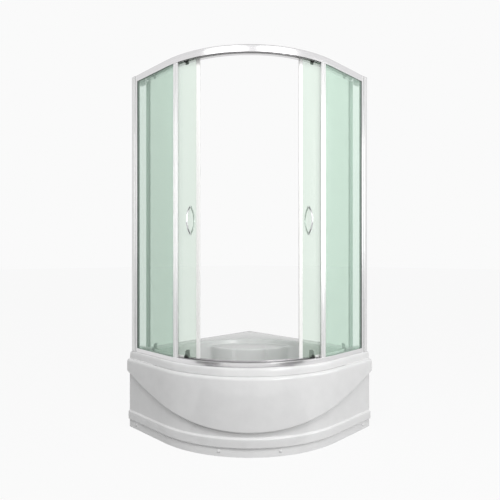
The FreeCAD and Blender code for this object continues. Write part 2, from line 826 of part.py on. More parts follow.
def build_door_stops():
    """Rubber stops in the top track that the trailing wheels meet when the doors stand open."""
    stop = new_body("door_stop")
    inner, outer = dim.rail_back_radius + dim.rail_wall + 1.5, dim.track_edge_radius - 2.0
    sketch = sketch_on(stop, "XY_Plane", dim.track_z)
    corners = [on_flat(outer, 150.0), on_flat(outer, 170.0), on_flat(inner, 170.0), on_flat(inner, 150.0)]
    pad(stop, draw_loop(sketch, corners), 22.4)
    keep(group("door_stops", [stop, mirrored("door_stop_twin", stop)]))


# ---------------------------------------------------------------- doors

DOOR = FRONT.multiply(door_rest())


def at_door(angle):
    """The door's frame turned so that its front axis points at this angle of the door."""
    return DOOR.multiply(turned(-float(angle)))


def glass_slot(body, inner, outer, start, stop, low, height):
    """Cut a curved slot for the glass edge."""
    doc.recompute()
    sketch = sketch_on(body, "XY_Plane", low)
    corners = [on_arc(outer, start), on_arc(outer, stop), on_arc(inner, stop), on_arc(inner, start)]
    draw_loop(sketch, corners, {0: (ORIGIN, outer), 2: (ORIGIN, inner)})
    return pocket(body, sketch, height, reverse=True)


def build_door_glass():
    """Curved toughened door pane."""
    body = new_body("door_glass", DOOR)
    inner = dim.door_glass_radius
    start = dim.seal_gap_angle + 1.1
    arc_band(body, inner, inner + dim.glass_thickness, start, dim.door_end_angle - 1.0,
             dim.door_bottom_z, dim.door_top_z - dim.door_bottom_z)
    keep_pair("door_glass", body)


def build_door_seals():
    """Magnetic seal on the leading edge, wiper on the trailing edge, drip strip underneath."""
    inner = dim.door_glass_radius
    outer = inner + dim.glass_thickness
    low, height = dim.door_bottom_z + 1.0, dim.door_top_z - dim.door_bottom_z - 2.0
    start = dim.seal_gap_angle
    magnetic = new_body("magnetic_seal", DOOR)
    arc_band(magnetic, inner - 1.5, outer + 1.5, start, start + dim.magnetic_seal_angle, low, height)
    glass_slot(magnetic, inner - 0.05, outer + 0.05, start + 1.05, start + dim.magnetic_seal_angle + 1.0,
               low, height)
    keep_pair("magnetic_seal", magnetic)
    end = dim.door_end_angle
    wiper = new_body("trailing_seal", DOOR)
    arc_band(wiper, inner - 1.5, outer + 1.5, end - dim.trailing_seal_angle, end, low, height)
    glass_slot(wiper, inner - 0.05, outer + 0.05, end - dim.trailing_seal_angle - 1.0, end - 0.95,
               low, height)
    keep_pair("trailing_seal", wiper)
    drip = new_body("drip_strip", DOOR)
    first, last = dim.leading_wheel_angle + 1.6, dim.trailing_wheel_angle - 1.6
    base, rise = dim.door_bottom_z - 3.0, 12.0
    arc_band(drip, inner - 1.2, outer + 1.2, first, last, base, rise)
    glass_slot(drip, inner - 0.05, outer + 0.05, first - 1.0, last + 1.0, dim.door_bottom_z - 0.05, rise)
    keep_pair("drip_strip", drip)


def build_handles():
    """A bow handle outside and one inside the glass, each a bar bent to an arc."""
    turn = at_door(dim.handle_angle)
    rise, half = dim.handle_height, dim.handle_span / 2.0
    bow_radius = (rise * rise + half * half) / (rise * 2.0)
    half_angle = math.degrees(math.atan2(half, bow_radius - rise)) + 6.0
    rod = dim.handle_rod_radius
    corners = [(rod * cosine(45.0 * step + 22.5), rod * sine(45.0 * step + 22.5)) for step in range(8)]
    level = Placement(V(0, 0, float(dim.handle_z)), Rotation())
    for name, face, out in (("handle_outer", dim.door_glass_radius + dim.glass_thickness + 0.3, -1.0),
                            ("handle_inner", dim.door_glass_radius - 0.3, 1.0)):
        body = new_body(name, turn.multiply(level))
        apex = -face + rise * out
        centre = apex - bow_radius * out
        profile = sketch_on(body, "XY_Plane")
        draw_loop(profile, [(x, apex + y) for x, y in corners])
        hinge = sketch_on(body, "XY_Plane")
        hinge_line = hinge.addGeometry(Part.LineSegment(V(-9, float(centre), 0), V(9, float(centre), 0)))
        constrain(hinge, "DistanceY", -1, 1, hinge_line, 1, centre)
        hinge.addConstraint(Sketcher.Constraint("Horizontal", hinge_line))
        bow = body.newObject("PartDesign::Revolution", "bow")
        bow.Profile = profile
        bow.ReferenceAxis = (hinge, ["Edge1"])
        bow.Angle = half_angle * 2.0
        bow.Midplane = True
        spot = turn.multiply(Placement(V(0, -face - 12.0 * out, dim.handle_z - half - 30.0), Rotation()))
        trim = box(f"{name}_trim", (60.0, 24.0, dim.handle_span + 60.0), spot)
        keep_pair(name, cut(f"{name}_bow", body, trim))


def wheel(name, angle, z):
    """Plain plastic wheel, bored for its axle."""
    radius, half = dim.wheel_radius, dim.wheel_width / 2.0
    bore = dim.axle_radius + dim.bore_gap
    place = at_door(angle).multiply(
        Placement(V(0, -float(dim.wheel_path_radius), float(z)), Rotation(V(1, 0, 0), 90)))
    return revolved(name, place, [(bore, -half), (radius, -half), (radius, half), (bore, half)])


def axle(name, place, length):
    """Stepped pin with a retaining head; z points outwards from the head."""
    radius = dim.axle_radius
    return revolved(name, place, [
        (0.0, 0.0), (3.9, 0.0), (3.9, 1.0), (radius, 1.0), (radius, length), (0.0, length)])


def radial_place(angle, radius, z):
    """A place on the door at this angle whose z axis points outwards."""
    return at_door(angle).multiply(Placement(V(0, -float(radius), float(z)), Rotation(V(1, 0, 0), 90)))


TOP_WHEEL_Z = dim.track_z + dim.running_gap + dim.wheel_radius
LOW_WHEEL_Z = dim.lower_track_z + dim.running_gap + dim.wheel_radius
WHEEL_ANGLES = {"leading": dim.leading_wheel_angle, "trailing": dim.trailing_wheel_angle}


def clamp_section(body, inner, outer, corners_in, corners_out):
    """Two cheeks drawn as front outlines, one each side of the glass."""
    for face, thickness, corners in ((inner[0], inner[1], corners_in), (outer[0], outer[1], corners_out)):
        sketch = sketch_on(body, "XZ_Plane", face)
        draw_loop(sketch, *corners)
        pad(body, sketch, thickness)


def build_top_hangers():
    """Clamps over the glass's top edge with the axles of the top wheels."""
    glass = dim.door_glass_radius
    hangers = []
    for name, angle in WHEEL_ANGLES.items():
        body = new_body(f"{name}_hanger", at_door(angle))
        top = dim.door_top_z
        cap_z, cap_radius, cap_half = top - 0.5, 11.0, 10.8
        cap_edge = cap_z - math.sqrt(cap_radius ** 2 - cap_half ** 2)
        crown = TOP_WHEEL_Z + 5.0
        outer_cheek = [(-cap_half, cap_edge), (cap_half, cap_edge),
                       (cap_half, top + 8.0), (-cap_half, top + 8.0)]
        inner_cheek = [(-9.0, top - 17.0), (9.0, top - 17.0), (9.0, crown), (-9.0, crown)]
        clamp_section(body, (glass - 4.5, 4.2), (glass + 5.1, 3.9),
                      (inner_cheek,), (outer_cheek, {0: ((0.0, cap_z), cap_radius)}))
        bridge = sketch_on(body, "XZ_Plane", glass - 4.5)
        draw_loop(bridge, [(-9.0, top + 0.2), (9.0, top + 0.2), (9.0, top + 8.0), (-9.0, top + 8.0)])
        pad(body, bridge, 13.5)
        start = dim.wheel_path_radius - dim.wheel_width / 2.0 - 1.1
        pin = axle(f"{name}_top_axle", radial_place(angle, start, TOP_WHEEL_Z), glass - 4.0 - start)
        hangers.append(fuse(f"{name}_top_hanger", [body, pin]))
    keep_pair("top_hangers", group("top_hanger_set", hangers))


def build_bottom_clamps():
    """Triangular clamps under the glass with guides for the release slides."""
    glass = dim.door_glass_radius
    low = dim.door_bottom_z
    clamps = []
    for name, angle in WHEEL_ANGLES.items():
        body = new_body(f"{name}_clamp", at_door(angle))
        base = low - 2.9
        outer_cheek = [(-11.0, base), (11.0, base), (11.0, base + 4.0), (1.0, low + 13.0),
                       (-4.0, low + 13.0), (-11.0, base + 5.0)]
        inner_cheek = [(-11.0, base), (11.0, base), (11.0, low + 30.0), (-11.0, low + 30.0)]
        clamp_section(body, (glass - 3.6, 3.3), (glass + 5.1, 3.9), (inner_cheek,), (outer_cheek,))
        bridge = sketch_on(body, "XZ_Plane", glass - 3.6)
        draw_loop(bridge, [(-11.0, base), (11.0, base), (11.0, low - 0.1), (-11.0, low - 0.1)])
        pad(body, bridge, 12.6)
        for side in (-1.0, 1.0):
            guide = sketch_on(body, "XY_Plane", base + 2.0)
            draw_loop(guide, [(11.0 * side, -(glass - 3.5)), (11.0 * side, -(glass - 10.0)),
                              (5.5 * side, -(glass - 10.0)), (5.5 * side, -(glass - 8.4)),
                              (8.4 * side, -(glass - 8.4)), (8.4 * side, -(glass - 3.5))])
            pad(body, guide, 30.0)
        clamps.append(body)
    keep_pair("bottom_clamps", group("bottom_clamp_set", clamps))


def build_release_slides():
    """Sprung slides that carry the bottom wheels and lift them out of the channel."""
    glass = dim.door_glass_radius
    low = dim.door_bottom_z
    for name, angle in WHEEL_ANGLES.items():
        body = new_body(f"{name}_slide", at_door(angle))
        plate = sketch_on(body, "XY_Plane", low - 2.6)
        draw_loop(plate, [(-8.0, -(glass - 4.0)), (8.0, -(glass - 4.0)), (8.0, -(glass - 8.0)),
                          (5.1, -(glass - 8.0)), (5.1, -(glass - 11.5)), (-5.1, -(glass - 11.5)),
                          (-5.1, -(glass - 8.0)), (-8.0, -(glass - 8.0))])
        pad(body, plate, 33.0)
        grip = sketch_on(body, "XY_Plane", low + 30.4)
        draw_loop(grip, [(-8.0, -(glass - 4.0)), (8.0, -(glass - 4.0)), (8.0, -(glass - 15.0)),
                         (-8.0, -(glass - 15.0))])
        pad(body, grip, 4.0)
        start = dim.wheel_path_radius - dim.wheel_width / 2.0 - 1.1
        pin = axle(f"{name}_low_axle", radial_place(angle, start, LOW_WHEEL_Z), glass - 9.0 - start)
        keep_pair(f"{name}_release_slide", fuse(f"{name}_release", [body, pin]))


def build_wheels():
    """Eight wheels, four per door."""
    for name, angle in WHEEL_ANGLES.items():
        keep_pair(f"{name}_top_wheel", wheel(f"{name}_top", angle, TOP_WHEEL_Z))
        keep_pair(f"{name}_bottom_wheel", wheel(f"{name}_bottom", angle, LOW_WHEEL_Z))


# ---------------------------------------------------------------- support and waste

LEG_SPOTS = [(-535.0, -150.0), (535.0, -150.0), (0.0, 325.0), (-130.0, -480.0), (130.0, -480.0)]


def tube(name, centre, length, turn, upright=False):
    """Square hollow section, lying along x of its place or standing up."""
    side = dim.tube_side
    base = FRONT.multiply(Placement(V(*centre), Rotation(UP, turn)))
    outer = (side, side, length) if upright else (length, side, side)
    hole = (side - 4.0, side - 4.0, length + 2.0) if upright else (length + 2.0, side - 4.0, side - 4.0)
    lift = Placement(V(0, 0, -1.0 if upright else 2.0), Rotation())
    return box(f"{name}_outer", outer, base), box(f"{name}_bore", hole, base.multiply(lift))


def build_support():
    """Welded tube frame under the tray with uprights, levelling legs, nuts and feet."""
    side = dim.tube_side
    low = float(dim.frame_top_z - side)
    pairs = [
        tube("cross", (0.0, -150.0, low), 1095.0, 0),
        tube("front_cross", (0.0, -480.0, low), 285.0, 0),
        tube("spine", (0.0, 100.0, low), 475.0, 90),
        tube("left_rail", (-130.0, -315.0, low), 330.0, 90),
        tube("right_rail", (130.0, -315.0, low), 330.0, 90),
    ]
    rise = float(dim.rail_seat_z - dim.tray_wall) - low - side
    for number, (x, y) in enumerate(LEG_SPOTS[:3], 1):
        pairs.append(tube(f"upright_{number}", (x, y, low + side - 0.5), rise + 0.5, 45 if x else 0, True))
    welded = [cut(f"{outer.Name}_tube", outer, bore) for outer, bore in pairs]
    holes = [cylinder("leg_hole", dim.leg_radius + 0.3, side + 2.0,
                      FRONT.multiply(Placement(V(x, y, low - 1.0), Rotation()))) for x, y in LEG_SPOTS]
    keep(cut("tray_support_frame", fuse("welded_frame", welded), fuse("leg_holes", holes)))
    nuts, feet = [], []
    for number, (x, y) in enumerate(LEG_SPOTS, 1):
        place = FRONT.multiply(Placement(V(x, y, 0), Rotation()))
        nut = doc.addObject("Part::Prism", f"leg_nut_{number}")
        nut.Polygon = 6
        nut.Circumradius = 10.0
        nut.Height = 10.0
        nut.Placement = place.multiply(Placement(V(0, 0, low - 10.2), Rotation()))
        bore = cylinder(f"nut_bore_{number}", dim.leg_radius + 0.05, 12.0,
                        place.multiply(Placement(V(0, 0, low - 11.2), Rotation())))
        nuts.append(cut(f"leg_hex_{number}", nut, bore))
        feet.append(revolved(f"foot_{number}", place, [
            (0.0, 0.0), (25.0, 0.0), (25.0, 4.0), (dim.leg_radius, 16.0),
            (dim.leg_radius, low + 16.0), (0.0, low + 16.0)]))
    keep(group("leg_nuts", nuts), group("levelling_feet", feet))


def build_waste():
    """Waste set: flange and dome inside the tray, trap body with its side outlet below."""
    place = FRONT.multiply(Placement(V(0, dim.drain_y, 0), Rotation()))
    floor, wall, hole = float(dim.basin_floor_z), float(dim.tray_wall), float(dim.drain_radius)
    below = floor - wall
    keep(revolved("waste_flange", place, [
        (hole - 6.0, floor - 12.0), (hole - 0.3, floor - 12.0), (hole - 0.3, floor + 0.1),
        (hole + 11.0, floor + 0.1), (hole + 9.0, floor + 2.2), (hole - 6.0, floor + 1.0)]))
    keep(revolved("waste_cover", place, [
        (0.0, floor + 3.0), (hole + 6.0, floor + 3.0), (hole + 6.0, floor + 4.6),
        (hole - 9.0, floor + 8.2), (0.0, floor + 8.2)]))
    keep(revolved("waste_gasket", place, [
        (hole - 0.2, below - 3.1), (hole + 11.0, below - 3.1),
        (hole + 11.0, below - 0.1), (hole - 0.2, below - 0.1)]))
    cup = revolved("trap_cup", place, [
        (0.0, 36.0), (46.0, 36.0), (46.0, 100.0), (hole + 11.0, 109.0), (hole + 11.0, below - 3.2),
        (hole - 0.2, below - 3.2), (hole - 0.2, 112.0), (42.0, 100.0), (42.0, 40.0), (0.0, 40.0)])
    sideways = Rotation(UP, 45).multiply(Rotation(V(1, 0, 0), -90))
    outlet = place.multiply(Placement(V(0, 0, 68.0), sideways))
    start = outlet.multiply(Placement(V(0, 0, 43.5), Rotation()))
    collar = cylinder("outlet_collar", 24.0, 18.5, start)
    spigot = cylinder("outlet_spigot", dim.outlet_radius, 106.5, start)
    bore = cylinder("outlet_bore", dim.outlet_radius - 2.5, 170.0, outlet)
    keep(cut("trap_body", fuse("trap_solid", [cup, collar, spigot]), bore))


# ---------------------------------------------------------------- build, check, write

build_tray()
build_apron()
build_apron_fixings()
build_rails()
build_fixed_panels()
build_corner_blocks()
build_door_stops()
build_door_glass()
build_door_seals()
build_handles()
build_top_hangers()
build_bottom_clamps()
build_release_slides()
build_wheels()
build_support()
build_waste()
doc.recompute()

for item in doc.Objects:
    if "Invalid" in item.State or "Error" in item.State:
        raise RuntimeError(f"{item.Label} failed: {item.State}")
for node in nodes:
    if node.Shape.isNull() or not node.Shape.isValid() or not node.Shape.Solids:
        raise RuntimeError(f"{node.Label} has no valid solid")

os.makedirs("parts", exist_ok=True)
for node in nodes:
    node.Shape.exportStep(f"parts/{node.Label}.step")
    print(node.Label, len(node.Shape.Solids), round(node.Shape.Volume / 1000.0, 1))
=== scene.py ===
"""Quadrant shower enclosure: the looks of every piece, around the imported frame.

The row frame is in metres: +Z up, the square corner at (-X, +Y), the curved front facing
(+X, -Y).  Sizes in the classes are millimetres, mostly in the front frame: origin on the axis of
the curved front, x to the right, y towards the square corner.
"""

import logging
import math
from dataclasses import dataclass
from enum import Enum
from typing import Optional, Sequence, Union

import bmesh
import bpy
from mathutils import Matrix, Vector


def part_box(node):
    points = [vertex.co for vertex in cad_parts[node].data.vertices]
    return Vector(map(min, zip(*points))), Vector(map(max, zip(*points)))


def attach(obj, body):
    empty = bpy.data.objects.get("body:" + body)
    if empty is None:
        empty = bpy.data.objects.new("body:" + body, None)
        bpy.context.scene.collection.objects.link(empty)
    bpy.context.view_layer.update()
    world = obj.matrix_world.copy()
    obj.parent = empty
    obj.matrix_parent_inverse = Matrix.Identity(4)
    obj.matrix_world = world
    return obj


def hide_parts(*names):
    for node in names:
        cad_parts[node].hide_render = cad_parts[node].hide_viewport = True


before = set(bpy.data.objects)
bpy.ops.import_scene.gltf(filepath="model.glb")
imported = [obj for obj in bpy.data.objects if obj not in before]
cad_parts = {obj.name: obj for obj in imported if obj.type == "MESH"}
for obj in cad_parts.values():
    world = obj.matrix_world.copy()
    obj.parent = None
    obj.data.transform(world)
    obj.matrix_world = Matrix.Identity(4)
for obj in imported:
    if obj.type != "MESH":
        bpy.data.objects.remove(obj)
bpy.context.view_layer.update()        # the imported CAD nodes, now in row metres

LOG = logging.getLogger("shower_enclosure")
MM = 0.001
ROOT_HALF = math.sqrt(0.5)
ENCLOSURE = "enclosure"
MERGED = 1e-6            # points nearer than this, in metres, are one point
GROUND_EDGE = (0.9, 1)   # a pane's ground edge: millimetres of chamfer, in one step
PANE_STEP = 0.8          # degrees between the marks of a pane, so that its curve looks smooth

Point = tuple[float, float]
Point3 = tuple[float, float, float]
Outline = list[Point]
Ring = list[Vector]
Piece = bpy.types.Object


# ---------------------------------------------------------------- nodes and colours

def linear(hex_colour: str) -> tuple[float, float, float, float]:
    """Turn an sRGB hex colour into linear values.

    Args:
        hex_colour: six hex digits with a leading hash.

    Returns:
        Linear red, green and blue with an alpha of one.
    """
    channels = [int(hex_colour[i:i + 2], 16) / 255.0 for i in (1, 3, 5)]
    straight = [c / 12.92 if c <= 0.04045 else ((c + 0.055) / 1.055) ** 2.4 for c in channels]
    return (*straight, 1.0)


def add(tree: bpy.types.NodeTree, kind: str, settings: Optional[dict] = None,
        inputs: Optional[dict] = None) -> bpy.types.Node:
    """Add a node with its settings and links.

    Args:
        tree: the shader or geometry tree that gets the node.
        kind: the node's type name.
        settings: node attributes by name.
        inputs: values, or sockets to link from, by the input's name or number.

    Returns:
        The new node.
    """
    node = tree.nodes.new(kind)
    for attribute, value in (settings or {}).items():
        setattr(node, attribute, value)
    for key, value in (inputs or {}).items():
        if isinstance(value, bpy.types.NodeSocket):
            tree.links.new(value, node.inputs[key])
        else:
            node.inputs[key].default_value = value
    return node


def blank_material(name: str) -> bpy.types.Material:
    """A material with an empty node tree.

    Args:
        name: the material's name.

    Returns:
        The new material.
    """
    material = bpy.data.materials.new(name)
    material.use_nodes = True
    material.node_tree.nodes.clear()
    return material


# ---------------------------------------------------------------- finishes

@dataclass(frozen=True)
class Finish:
    """An opaque material whose tone, gloss and relief vary over a grain of real size.

    Attributes:
        name: the real material and how its surface was made.
        dark: the darker of its two close tones.
        light: the lighter one.
        roughness: the range that the gloss varies over.
        grain_mm: size of what varies.
        relief_mm: depth of the surface relief.
        metallic: one for bare metal, zero for the rest, between them for anodised metal.
        ior: index of refraction.
        coat: share of a clear gloss over the surface.
        stretch: how many times finer the grain is along each axis.
    """

    name: str
    dark: str
    light: str
    roughness: tuple[float, float]
    grain_mm: float
    relief_mm: float = 0.0
    metallic: float = 0.0
    ior: float = 1.5
    coat: float = 0.0
    stretch: tuple[float, float, float] = (1.0, 1.0, 1.0)

    def build(self) -> bpy.types.Material:
        """Make the material.

        Returns:
            The new material.
        """
        material = blank_material(self.name)
        tree = material.node_tree
        place = add(tree, "ShaderNodeTexCoord")
        scale = add(tree, "ShaderNodeMapping", {}, {"Vector": place.outputs["Object"], "Scale": self.stretch})
        grain = add(tree, "ShaderNodeTexNoise", {}, {
            "Vector": scale.outputs["Vector"], "Scale": 1.0 / (self.grain_mm * MM), "Detail": 3.0})
        span = {"Value": grain.outputs["Fac"], "From Min": 0.3, "From Max": 0.7}
        spread = add(tree, "ShaderNodeMapRange", {}, span)
        tone = add(tree, "ShaderNodeMix", {"data_type": "RGBA"}, {
            0: spread.outputs["Result"], 6: linear(self.dark), 7: linear(self.light)})
        gloss = add(tree, "ShaderNodeMapRange", {}, {
            **span, "To Min": self.roughness[0], "To Max": self.roughness[1]})
        relief = add(tree, "ShaderNodeBump", {}, {
            "Height": grain.outputs["Fac"], "Distance": self.relief_mm * MM, "Strength": 0.6})
        surface = add(tree, "ShaderNodeBsdfPrincipled", {}, {
            "Base Color": tone.outputs[2], "Roughness": gloss.outputs["Result"],
            "Metallic": self.metallic, "IOR": self.ior, "Coat Weight": self.coat})
        if self.relief_mm:
            tree.links.new(relief.outputs["Normal"], surface.inputs["Normal"])
        add(tree, "ShaderNodeOutputMaterial", {}, {"Surface": surface.outputs["BSDF"]})
        return material


@dataclass(frozen=True)
class EtchedGlass:
    """Toughened soda-lime glass with an acid-etched face: a milky mint veil over a clear pane.

    Attributes:
        name: the real material and how its surface was made.
        tint: what the clear share does to light that passes.
        veil: the darker tone of the etched face.
        veil_light: the lighter one.
        veil_share: how much of the view the etched face takes.
        roughness: of the etched face.
        mottle_mm: size of the faint unevenness of the etch.
    """

    name: str
    tint: str
    veil: str
    veil_light: str
    veil_share: float
    roughness: float = 0.16
    mottle_mm: float = 3.0

    def build(self) -> bpy.types.Material:
        """Make the material.

        Returns:
            The new material.
        """
        material = blank_material(self.name)
        tree = material.node_tree
        place = add(tree, "ShaderNodeTexCoord")
        mottle = add(tree, "ShaderNodeTexNoise", {}, {
            "Vector": place.outputs["Object"], "Scale": 1.0 / (self.mottle_mm * MM)})
        tone = add(tree, "ShaderNodeMix", {"data_type": "RGBA"}, {
            0: mottle.outputs["Fac"], 6: linear(self.veil), 7: linear(self.veil_light)})
        clear = add(tree, "ShaderNodeBsdfTransparent", {}, {"Color": linear(self.tint)})
        etched = add(tree, "ShaderNodeBsdfPrincipled", {}, {
            "Base Color": tone.outputs[2], "Roughness": self.roughness, "IOR": 1.52})
        pane = add(tree, "ShaderNodeMixShader", {}, {
            0: self.veil_share, 1: clear.outputs["BSDF"], 2: etched.outputs["BSDF"]})
        add(tree, "ShaderNodeOutputMaterial", {}, {"Surface": pane.outputs["Shader"]})
        return material


class Surface(Enum):
    """The finishes of the enclosure."""

    # vacuum-formed acrylic: glossy, even, with a very faint waviness from the mould
    ACRYLIC = Finish("vacuum_formed_acrylic", "#e0e0e0", "#e4e4e4", (0.14, 0.20), 55.0, 0.05, coat=0.2)
    # bright anodised aluminium, extruded and bent: fine draw lines along the rail
    RAIL = Finish("bright_anodised_aluminium_rail", "#dad9da", "#e2e1e2", (0.17, 0.25), 1.2, 0.004,
                  metallic=0.92, stretch=(0.004, 0.004, 1.0))
    # the inside of the wheel channel: a paler, matt copy of the rail's metal, painted light that lifts the
    # shade inside the channel
    RAIL_INSIDE = Finish("satin_aluminium_inside_rail", "#e6e6e6", "#efefef", (0.5, 0.62), 1.2, 0.004,
                         metallic=0.2, stretch=(0.004, 0.004, 1.0))
    # the same extrusion standing up: the draw lines run up the profile
    UPRIGHT = Finish("bright_anodised_aluminium_upright", "#dedede", "#e6e6e6", (0.22, 0.32), 1.2, 0.004,
                     metallic=0.7, stretch=(1.0, 1.0, 0.004))
    # toughened glass with an etched face: a milky green veil that lets the seals behind show
    FIXED_GLASS = EtchedGlass("etched_toughened_glass_fixed", "#fafffc", "#cce2d5", "#d1e6da", 0.30)
    # the same glass in the doors with a thinner veil: painted light, a paler copy that stands for the
    # brighter open middle seen behind the doors
    DOOR_GLASS = EtchedGlass("etched_toughened_glass_door", "#fbfffc", "#c4d3c6", "#c9d7cb", 0.20)
    # soft extruded vinyl: milky white, waxy, slightly uneven
    SEAL = Finish("soft_extruded_vinyl", "#f0f0ee", "#f6f6f4", (0.32, 0.42), 8.0, 0.02)
    # clear vinyl of the wiper: grey where it doubles the glass
    WIPER = Finish("clear_extruded_vinyl", "#bcc6c0", "#c6cfca", (0.28, 0.4), 8.0, 0.02)
    # the dark lip that closes a glass edge: matt, greenish grey through the pane
    RUBBER = Finish("dark_extruded_rubber", "#46504b", "#525c57", (0.55, 0.7), 2.0, 0.03)
    # polished chrome plate: a mirror with hardly any variation
    CHROME = Finish("chrome_plated_zinc", "#dcddde", "#e2e3e4", (0.04, 0.07), 14.0, metallic=1.0)
    # injection-moulded nylon: nearly black with a fine spark-eroded grain
    NYLON = Finish("moulded_black_nylon", "#141615", "#1e201f", (0.32, 0.46), 0.5, 0.02)
    # the same nylon in pale grey, for the blocks at the ends of the rails
    PALE_NYLON = Finish("moulded_pale_nylon", "#e2e4e3", "#eaecea", (0.36, 0.48), 0.5, 0.02)
    # turned acetal: smooth, bright, slightly translucent white
    ACETAL = Finish("turned_acetal", "#d8d8d4", "#e0e0dc", (0.3, 0.4), 1.0, 0.01)
    # electroplated zinc on steel: cool grey with a faint spangle
    ZINC = Finish("zinc_plated_steel", "#a2a6a8", "#b4b8ba", (0.28, 0.42), 9.0, 0.02, metallic=1.0)
    # blown polypropylene: satin white with a soft ripple
    PIPE = Finish("moulded_polypropylene", "#dcdcda", "#e4e4e2", (0.38, 0.5), 12.0, 0.1)
    # nylon pile of the draught brush: grey, dull
    PILE = Finish("nylon_brush_pile", "#9a9f9c", "#b9bdba", (0.7, 0.85), 0.8)

    @property
    def material(self) -> bpy.types.Material:
        """The built material, made once."""
        return bpy.data.materials.get(self.value.name) or self.value.build()


# ---------------------------------------------------------------- plan and places

FLAT_RUN = 330.0
HALF_SQUARE = -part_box("wall_channel_left")[0][0] / MM
FRONT = (Matrix.Translation(Vector((FLAT_RUN - HALF_SQUARE, HALF_SQUARE - FLAT_RUN, 0.0)) * MM)
         @ Matrix.Rotation(math.radians(45.0), 4, "Z") @ Matrix.Scale(MM, 4))
CORNER_Y = FLAT_RUN / ROOT_HALF
END_MARK = 45.0 + FLAT_RUN    # where the front's line meets the straight side, as front_point takes it
MIRROR = Matrix(((0, -1, 0, 0), (-1, 0, 0, 0), (0, 0, 1, 0), (0, 0, 0, 1)))


def front_point(radius: float, mark: float) -> Point:
    """A point on a line that runs beside the front.

    Args:
        radius: the line's radius on the curved stretch.
        mark: degrees to the left of the middle; past 45 it goes on in millimetres of straight run.

    Returns:
        The point in the front frame.
    """
    side = math.copysign(1.0, mark)
    angle = math.radians(min(abs(mark), 45.0))
    run = max(abs(mark) - 45.0, 0.0) * ROOT_HALF
    return (-side * (radius * math.sin(angle) + run), run - radius * math.cos(angle))


def arc_point(radius: float, angle: float) -> Point:
    """A point on a door's line, which stays an arc past its end."""
    return (-radius * math.sin(math.radians(angle)), -radius * math.cos(math.radians(angle)))


def wall_point(left: float, right: float) -> Point:
    """The front-frame point at these distances from the left and the right straight side."""
    return ((left - right) * ROOT_HALF, CORNER_Y - (left + right) * ROOT_HALF)


def front_marks(start: float, stop: float, step: float = 1.5) -> list[float]:
    """Evenly spaced marks along the front, with one on each bend that lies between.

    Args:
        start: first mark, as front_point takes it.
        stop: last mark, greater than start.
        step: degrees between marks on the curve.

    Returns:
        The marks from start to stop.
    """
    low, high = max(start, -45.0), min(stop, 45.0)
    count = max(1, round((high - low) / step))
    marks = [low + (high - low) * i / count for i in range(count + 1)]
    before = [start] if start < -45.0 else []
    after = [stop] if stop > 45.0 else []
    return before + marks + after


def heights(node: str) -> Point:
    """Lowest and highest millimetre of a CAD node at rest."""
    low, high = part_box(node)
    return low[2] / MM, high[2] / MM


def middle(node: str) -> Vector:
    """The middle of a CAD node's box at rest, in metres."""
    low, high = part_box(node)
    return (Vector(low) + Vector(high)) / 2.0


def quarter(steps: int) -> list[float]:
    """The angles of a quarter turn, both ends with them."""
    return [math.pi / 2 * step / steps for step in range(steps + 1)]


def turned(place: Matrix, angle: float) -> Matrix:
    """The place turned so that its front axis points angle degrees to the left."""
    return place @ Matrix.Rotation(math.radians(-angle), 4, "Z")


@dataclass(frozen=True)
class DoorWheels:
    """Where the wheels run, which fixes the left door's own frame at rest.

    Attributes:
        path: radius that the wheels follow.
        leading: angle of the leading wheels when the door is shut.
        trailing: angle of the trailing ones.
    """

    path: float = 549.3
    leading: float = 8.1
    trailing: float = 35.5

    def place(self) -> Matrix:
        """The matrix from the shut door's front frame to its rest place in the row."""
        shut = [FRONT @ Vector((*front_point(self.path, angle), 0.0))
                for angle in (self.leading, self.trailing)]
        parked = [middle(f"{end}_top_wheel_left") for end in ("leading", "trailing")]
        before, after = shut[1] - shut[0], parked[1] - parked[0]
        turn = math.atan2(after.y, after.x) - math.atan2(before.y, before.x)
        lead = Vector((parked[0].x, parked[0].y, 0.0))
        return Matrix.Translation(lead) @ Matrix.Rotation(turn, 4, "Z") @ Matrix.Translation(-shut[0]) @ FRONT


WHEELS = DoorWheels()
DOOR = WHEELS.place()


# ---------------------------------------------------------------- meshes

def object_of(name: str, data: bpy.types.ID) -> Piece:
    """An object in the scene that shows a mesh, a lamp or a camera."""
    piece = bpy.data.objects.new(name, data)
    bpy.context.scene.collection.objects.link(piece)
    return piece


def tidy(mesh: bpy.types.Mesh) -> None:
    """Merge doubled points, drop loose edges and turn every face outwards.

    Args:
        mesh: the mesh, which is changed in place.
    """
    work = bmesh.new()
    work.from_mesh(mesh)
    bmesh.ops.remove_doubles(work, verts=work.verts, dist=MERGED)
    bmesh.ops.delete(work, geom=[edge for edge in work.edges if not edge.link_faces], context="EDGES")
    bmesh.ops.recalc_face_normals(work, faces=work.faces)
    work.to_mesh(mesh)
    work.free()


def skin(name: str, rings: Sequence[Ring], capped: bool = True, looped: bool = True) -> Piece:
    """Faces between rings of equal length.

    Args:
        name: the new object's name.
        rings: rings of points in row metres.
        capped: whether the first and last rings are filled.
        looped: whether each ring closes on itself.

    Returns:
        The new object.
    """
    count = len(rings[0])
    faces = []
    for row in range(len(rings) - 1):
        low, high = row * count, (row + 1) * count
        for spot in range(count if looped else count - 1):
            after = (spot + 1) % count
            faces.append((low + spot, low + after, high + after, high + spot))
    if capped:
        faces.append(tuple(range(count)))
        faces.append(tuple(range((len(rings) - 1) * count, len(rings) * count)))
    mesh = bpy.data.meshes.new(name)
    mesh.from_pydata([tuple(point) for ring in rings for point in ring], [], faces)
    tidy(mesh)
    return object_of(name, mesh)


